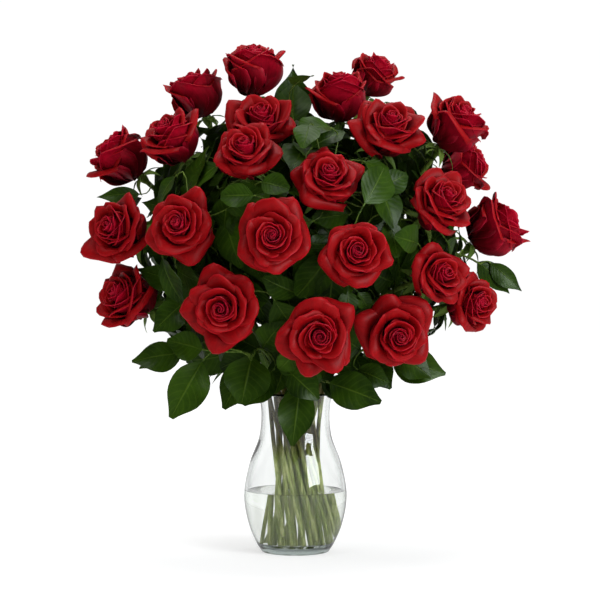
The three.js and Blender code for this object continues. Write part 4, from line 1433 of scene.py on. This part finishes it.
def clear_finish(name, tint, painted_edge, ior, wave_scale, wave_depth, kept, density):
    """Something clear: its colour face on, its painted shade at the edge, its waves, and the light kept
    inside it.
    """
    finish = Finish(name)
    waves = finish.noise(finish.place, wave_scale, 1.0)
    specks = finish.noise(finish.place, SPECK_SCALE, 1.0)
    looks = dict(Roughness=finish.ramp(specks, 0.62, 0.9) * SPECK_ROUGHNESS, IOR=ior,
                 Transmission_Weight=1.0, Normal=finish.relief(waves, wave_depth))
    # Painted shade towards the edges, where the surface is seen side on.
    facing = finish.add("ShaderNodeLayerWeight", {}, {"Blend": 0.5})["Facing"]
    both = finish.add("ShaderNodeMixShader", {}, {
        0: finish.ramp(facing, 0.5, 1.0), 1: finish.shader(Base_Color=tint, **looks),
        2: finish.shader(Base_Color=painted_edge, **looks)})
    body = finish.add("ShaderNodeVolumeAbsorption", {}, {"Color": kept, "Density": density})
    return finish.end(both, body)


glass = clear_finish(
    "pressed_glass", tint=(0.99, 0.995, 0.99, 1), painted_edge=(0.32, 0.35, 0.34, 1), ior=1.5,
    wave_scale=22.0, wave_depth=0.0012, kept=(0.80, 0.825, 0.82, 1), density=60.0)
fresh_water = clear_finish(
    "fresh_water", tint=(0.985, 0.995, 0.975, 1), painted_edge=(0.9, 0.94, 0.88, 1), ior=1.333,
    wave_scale=8.0, wave_depth=0.0002, kept=(0.84, 0.88, 0.8, 1), density=1.5)
CLEAR_PIECES = ((vase_piece, glass, "vase", "glass"), (water_piece, fresh_water, "water", "water"))
for piece, finish, node, slot in CLEAR_PIECES:
    piece.data.materials.append(finish)
    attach(piece, "root")
    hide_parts(node)
print("clear finishes:", glass.name, fresh_water.name)

# %% [markdown]
# ## Studio
# A white floor glows a little and runs out to a white background, as paper under studio lights does. It
# isn't mirrored in the glass, which would veil the stems. A soft window on the camera's right models the
# petals, and a pane in nearly the same place is seen only where something mirrors it. Weaker lights stand
# on the left and on top. None of the lamps can be seen through the glass. The background is bright where
# the camera looks at it, also through glass, and dimmer where it lights things or is mirrored.

# %% The floor
FLOOR_SIZE = 8
# distances from the middle between which the paper gets as bright as the background
PAPER_BRIGHTENS = (0.3, 2.5)

floor_mesh = bpy.data.meshes.new("studio_floor")
corners = [(x * FLOOR_SIZE, y * FLOOR_SIZE, 0) for x, y in ((-1, -1), (1, -1), (1, 1), (-1, 1))]
floor_mesh.from_pydata(corners, [], [(0, 1, 2, 3)])
studio_floor = bpy.data.objects.new("studio_floor", floor_mesh)
paper = Finish("white_paper")
grain = paper.noise(paper.place, 600.0, 2.0)
x, y, _ = paper.parts(paper.place)
far = paper.ramp((x * x + y * y) ** 0.5, *PAPER_BRIGHTENS)
floor_mesh.materials.append(paper.shade(
    Base_Color=(0.6, 0.6, 0.6, 1), Roughness=0.9 + grain * 0.05,
    Emission_Color=paper.blend((0.62, 0.62, 0.62, 1), (1, 1, 1, 1), far), Emission_Strength=0.95))
bpy.context.collection.objects.link(studio_floor)
studio_floor.visible_glossy = False
print("floor, m:", 2 * FLOOR_SIZE)

# %% The lights
def soft_light(name, place, target, size, power, colour=(1, 1, 1)):
    """A square light that looks from its place at a target. It isn't seen through glass."""
    light = bpy.data.lights.new(name, "AREA")
    light.shape, light.size, light.energy, light.color = "SQUARE", size, power, colour
    lamp = bpy.data.objects.new(name, light)
    lamp.location = place
    way = np.array(target) - np.array(place)
    flat = math.hypot(way[0], way[1])
    lamp.rotation_euler = (math.atan2(flat, -way[2]), 0, math.atan2(-way[0], way[1]))
    lamp.visible_transmission = False
    bpy.context.collection.objects.link(lamp)
    return lamp


window = soft_light("window", (1.6, -1.6, 1.1), (0, 0, 0.3), size=1.2, power=40, colour=(0.95, 0.98, 1))
window.visible_glossy = False
pane = soft_light("pane", (1.55, -1.55, 1.08), (0, 0, 0.3), size=1.15, power=75, colour=(0.93, 0.97, 1))
pane.visible_diffuse = False
left = soft_light("left", (-1.0, -1.0, 2.1), (0, 0, 0.35), size=0.9, power=16)
top = soft_light("top", (0.1, 0.3, 2.2), (0, 0, 0.35), size=1.2, power=22)
print("lights:", [lamp.name for lamp in (window, pane, left, top)])

# %% The background
# brightness all round, how much is added towards the back, and what the camera and the glass see
ALL_ROUND, TOWARDS_BACK, LOOKED_AT = 0.07, 0.5, 1.02

world = bpy.data.worlds.new("white studio")
world.use_nodes = True
room = Bench(world.node_tree)
room.tree.nodes.clear()
way = room.add("ShaderNodeTexCoord")["Generated"]
back = room.ramp(room.parts(way)[1], 0.0, 0.8)
path = room.add("ShaderNodeLightPath")
looked_at = room.most(path["Is Camera Ray"], path["Is Transmission Ray"])
brightness = room.most(ALL_ROUND + back * TOWARDS_BACK, looked_at * LOOKED_AT)
room.add("ShaderNodeOutputWorld", {}, {
    "Surface": room.add("ShaderNodeBackground", {}, {"Color": (1, 1, 1, 1), "Strength": brightness})})
bpy.context.scene.world = world
bpy.context.scene.view_settings.view_transform = "Standard"
print("background:", world.name)
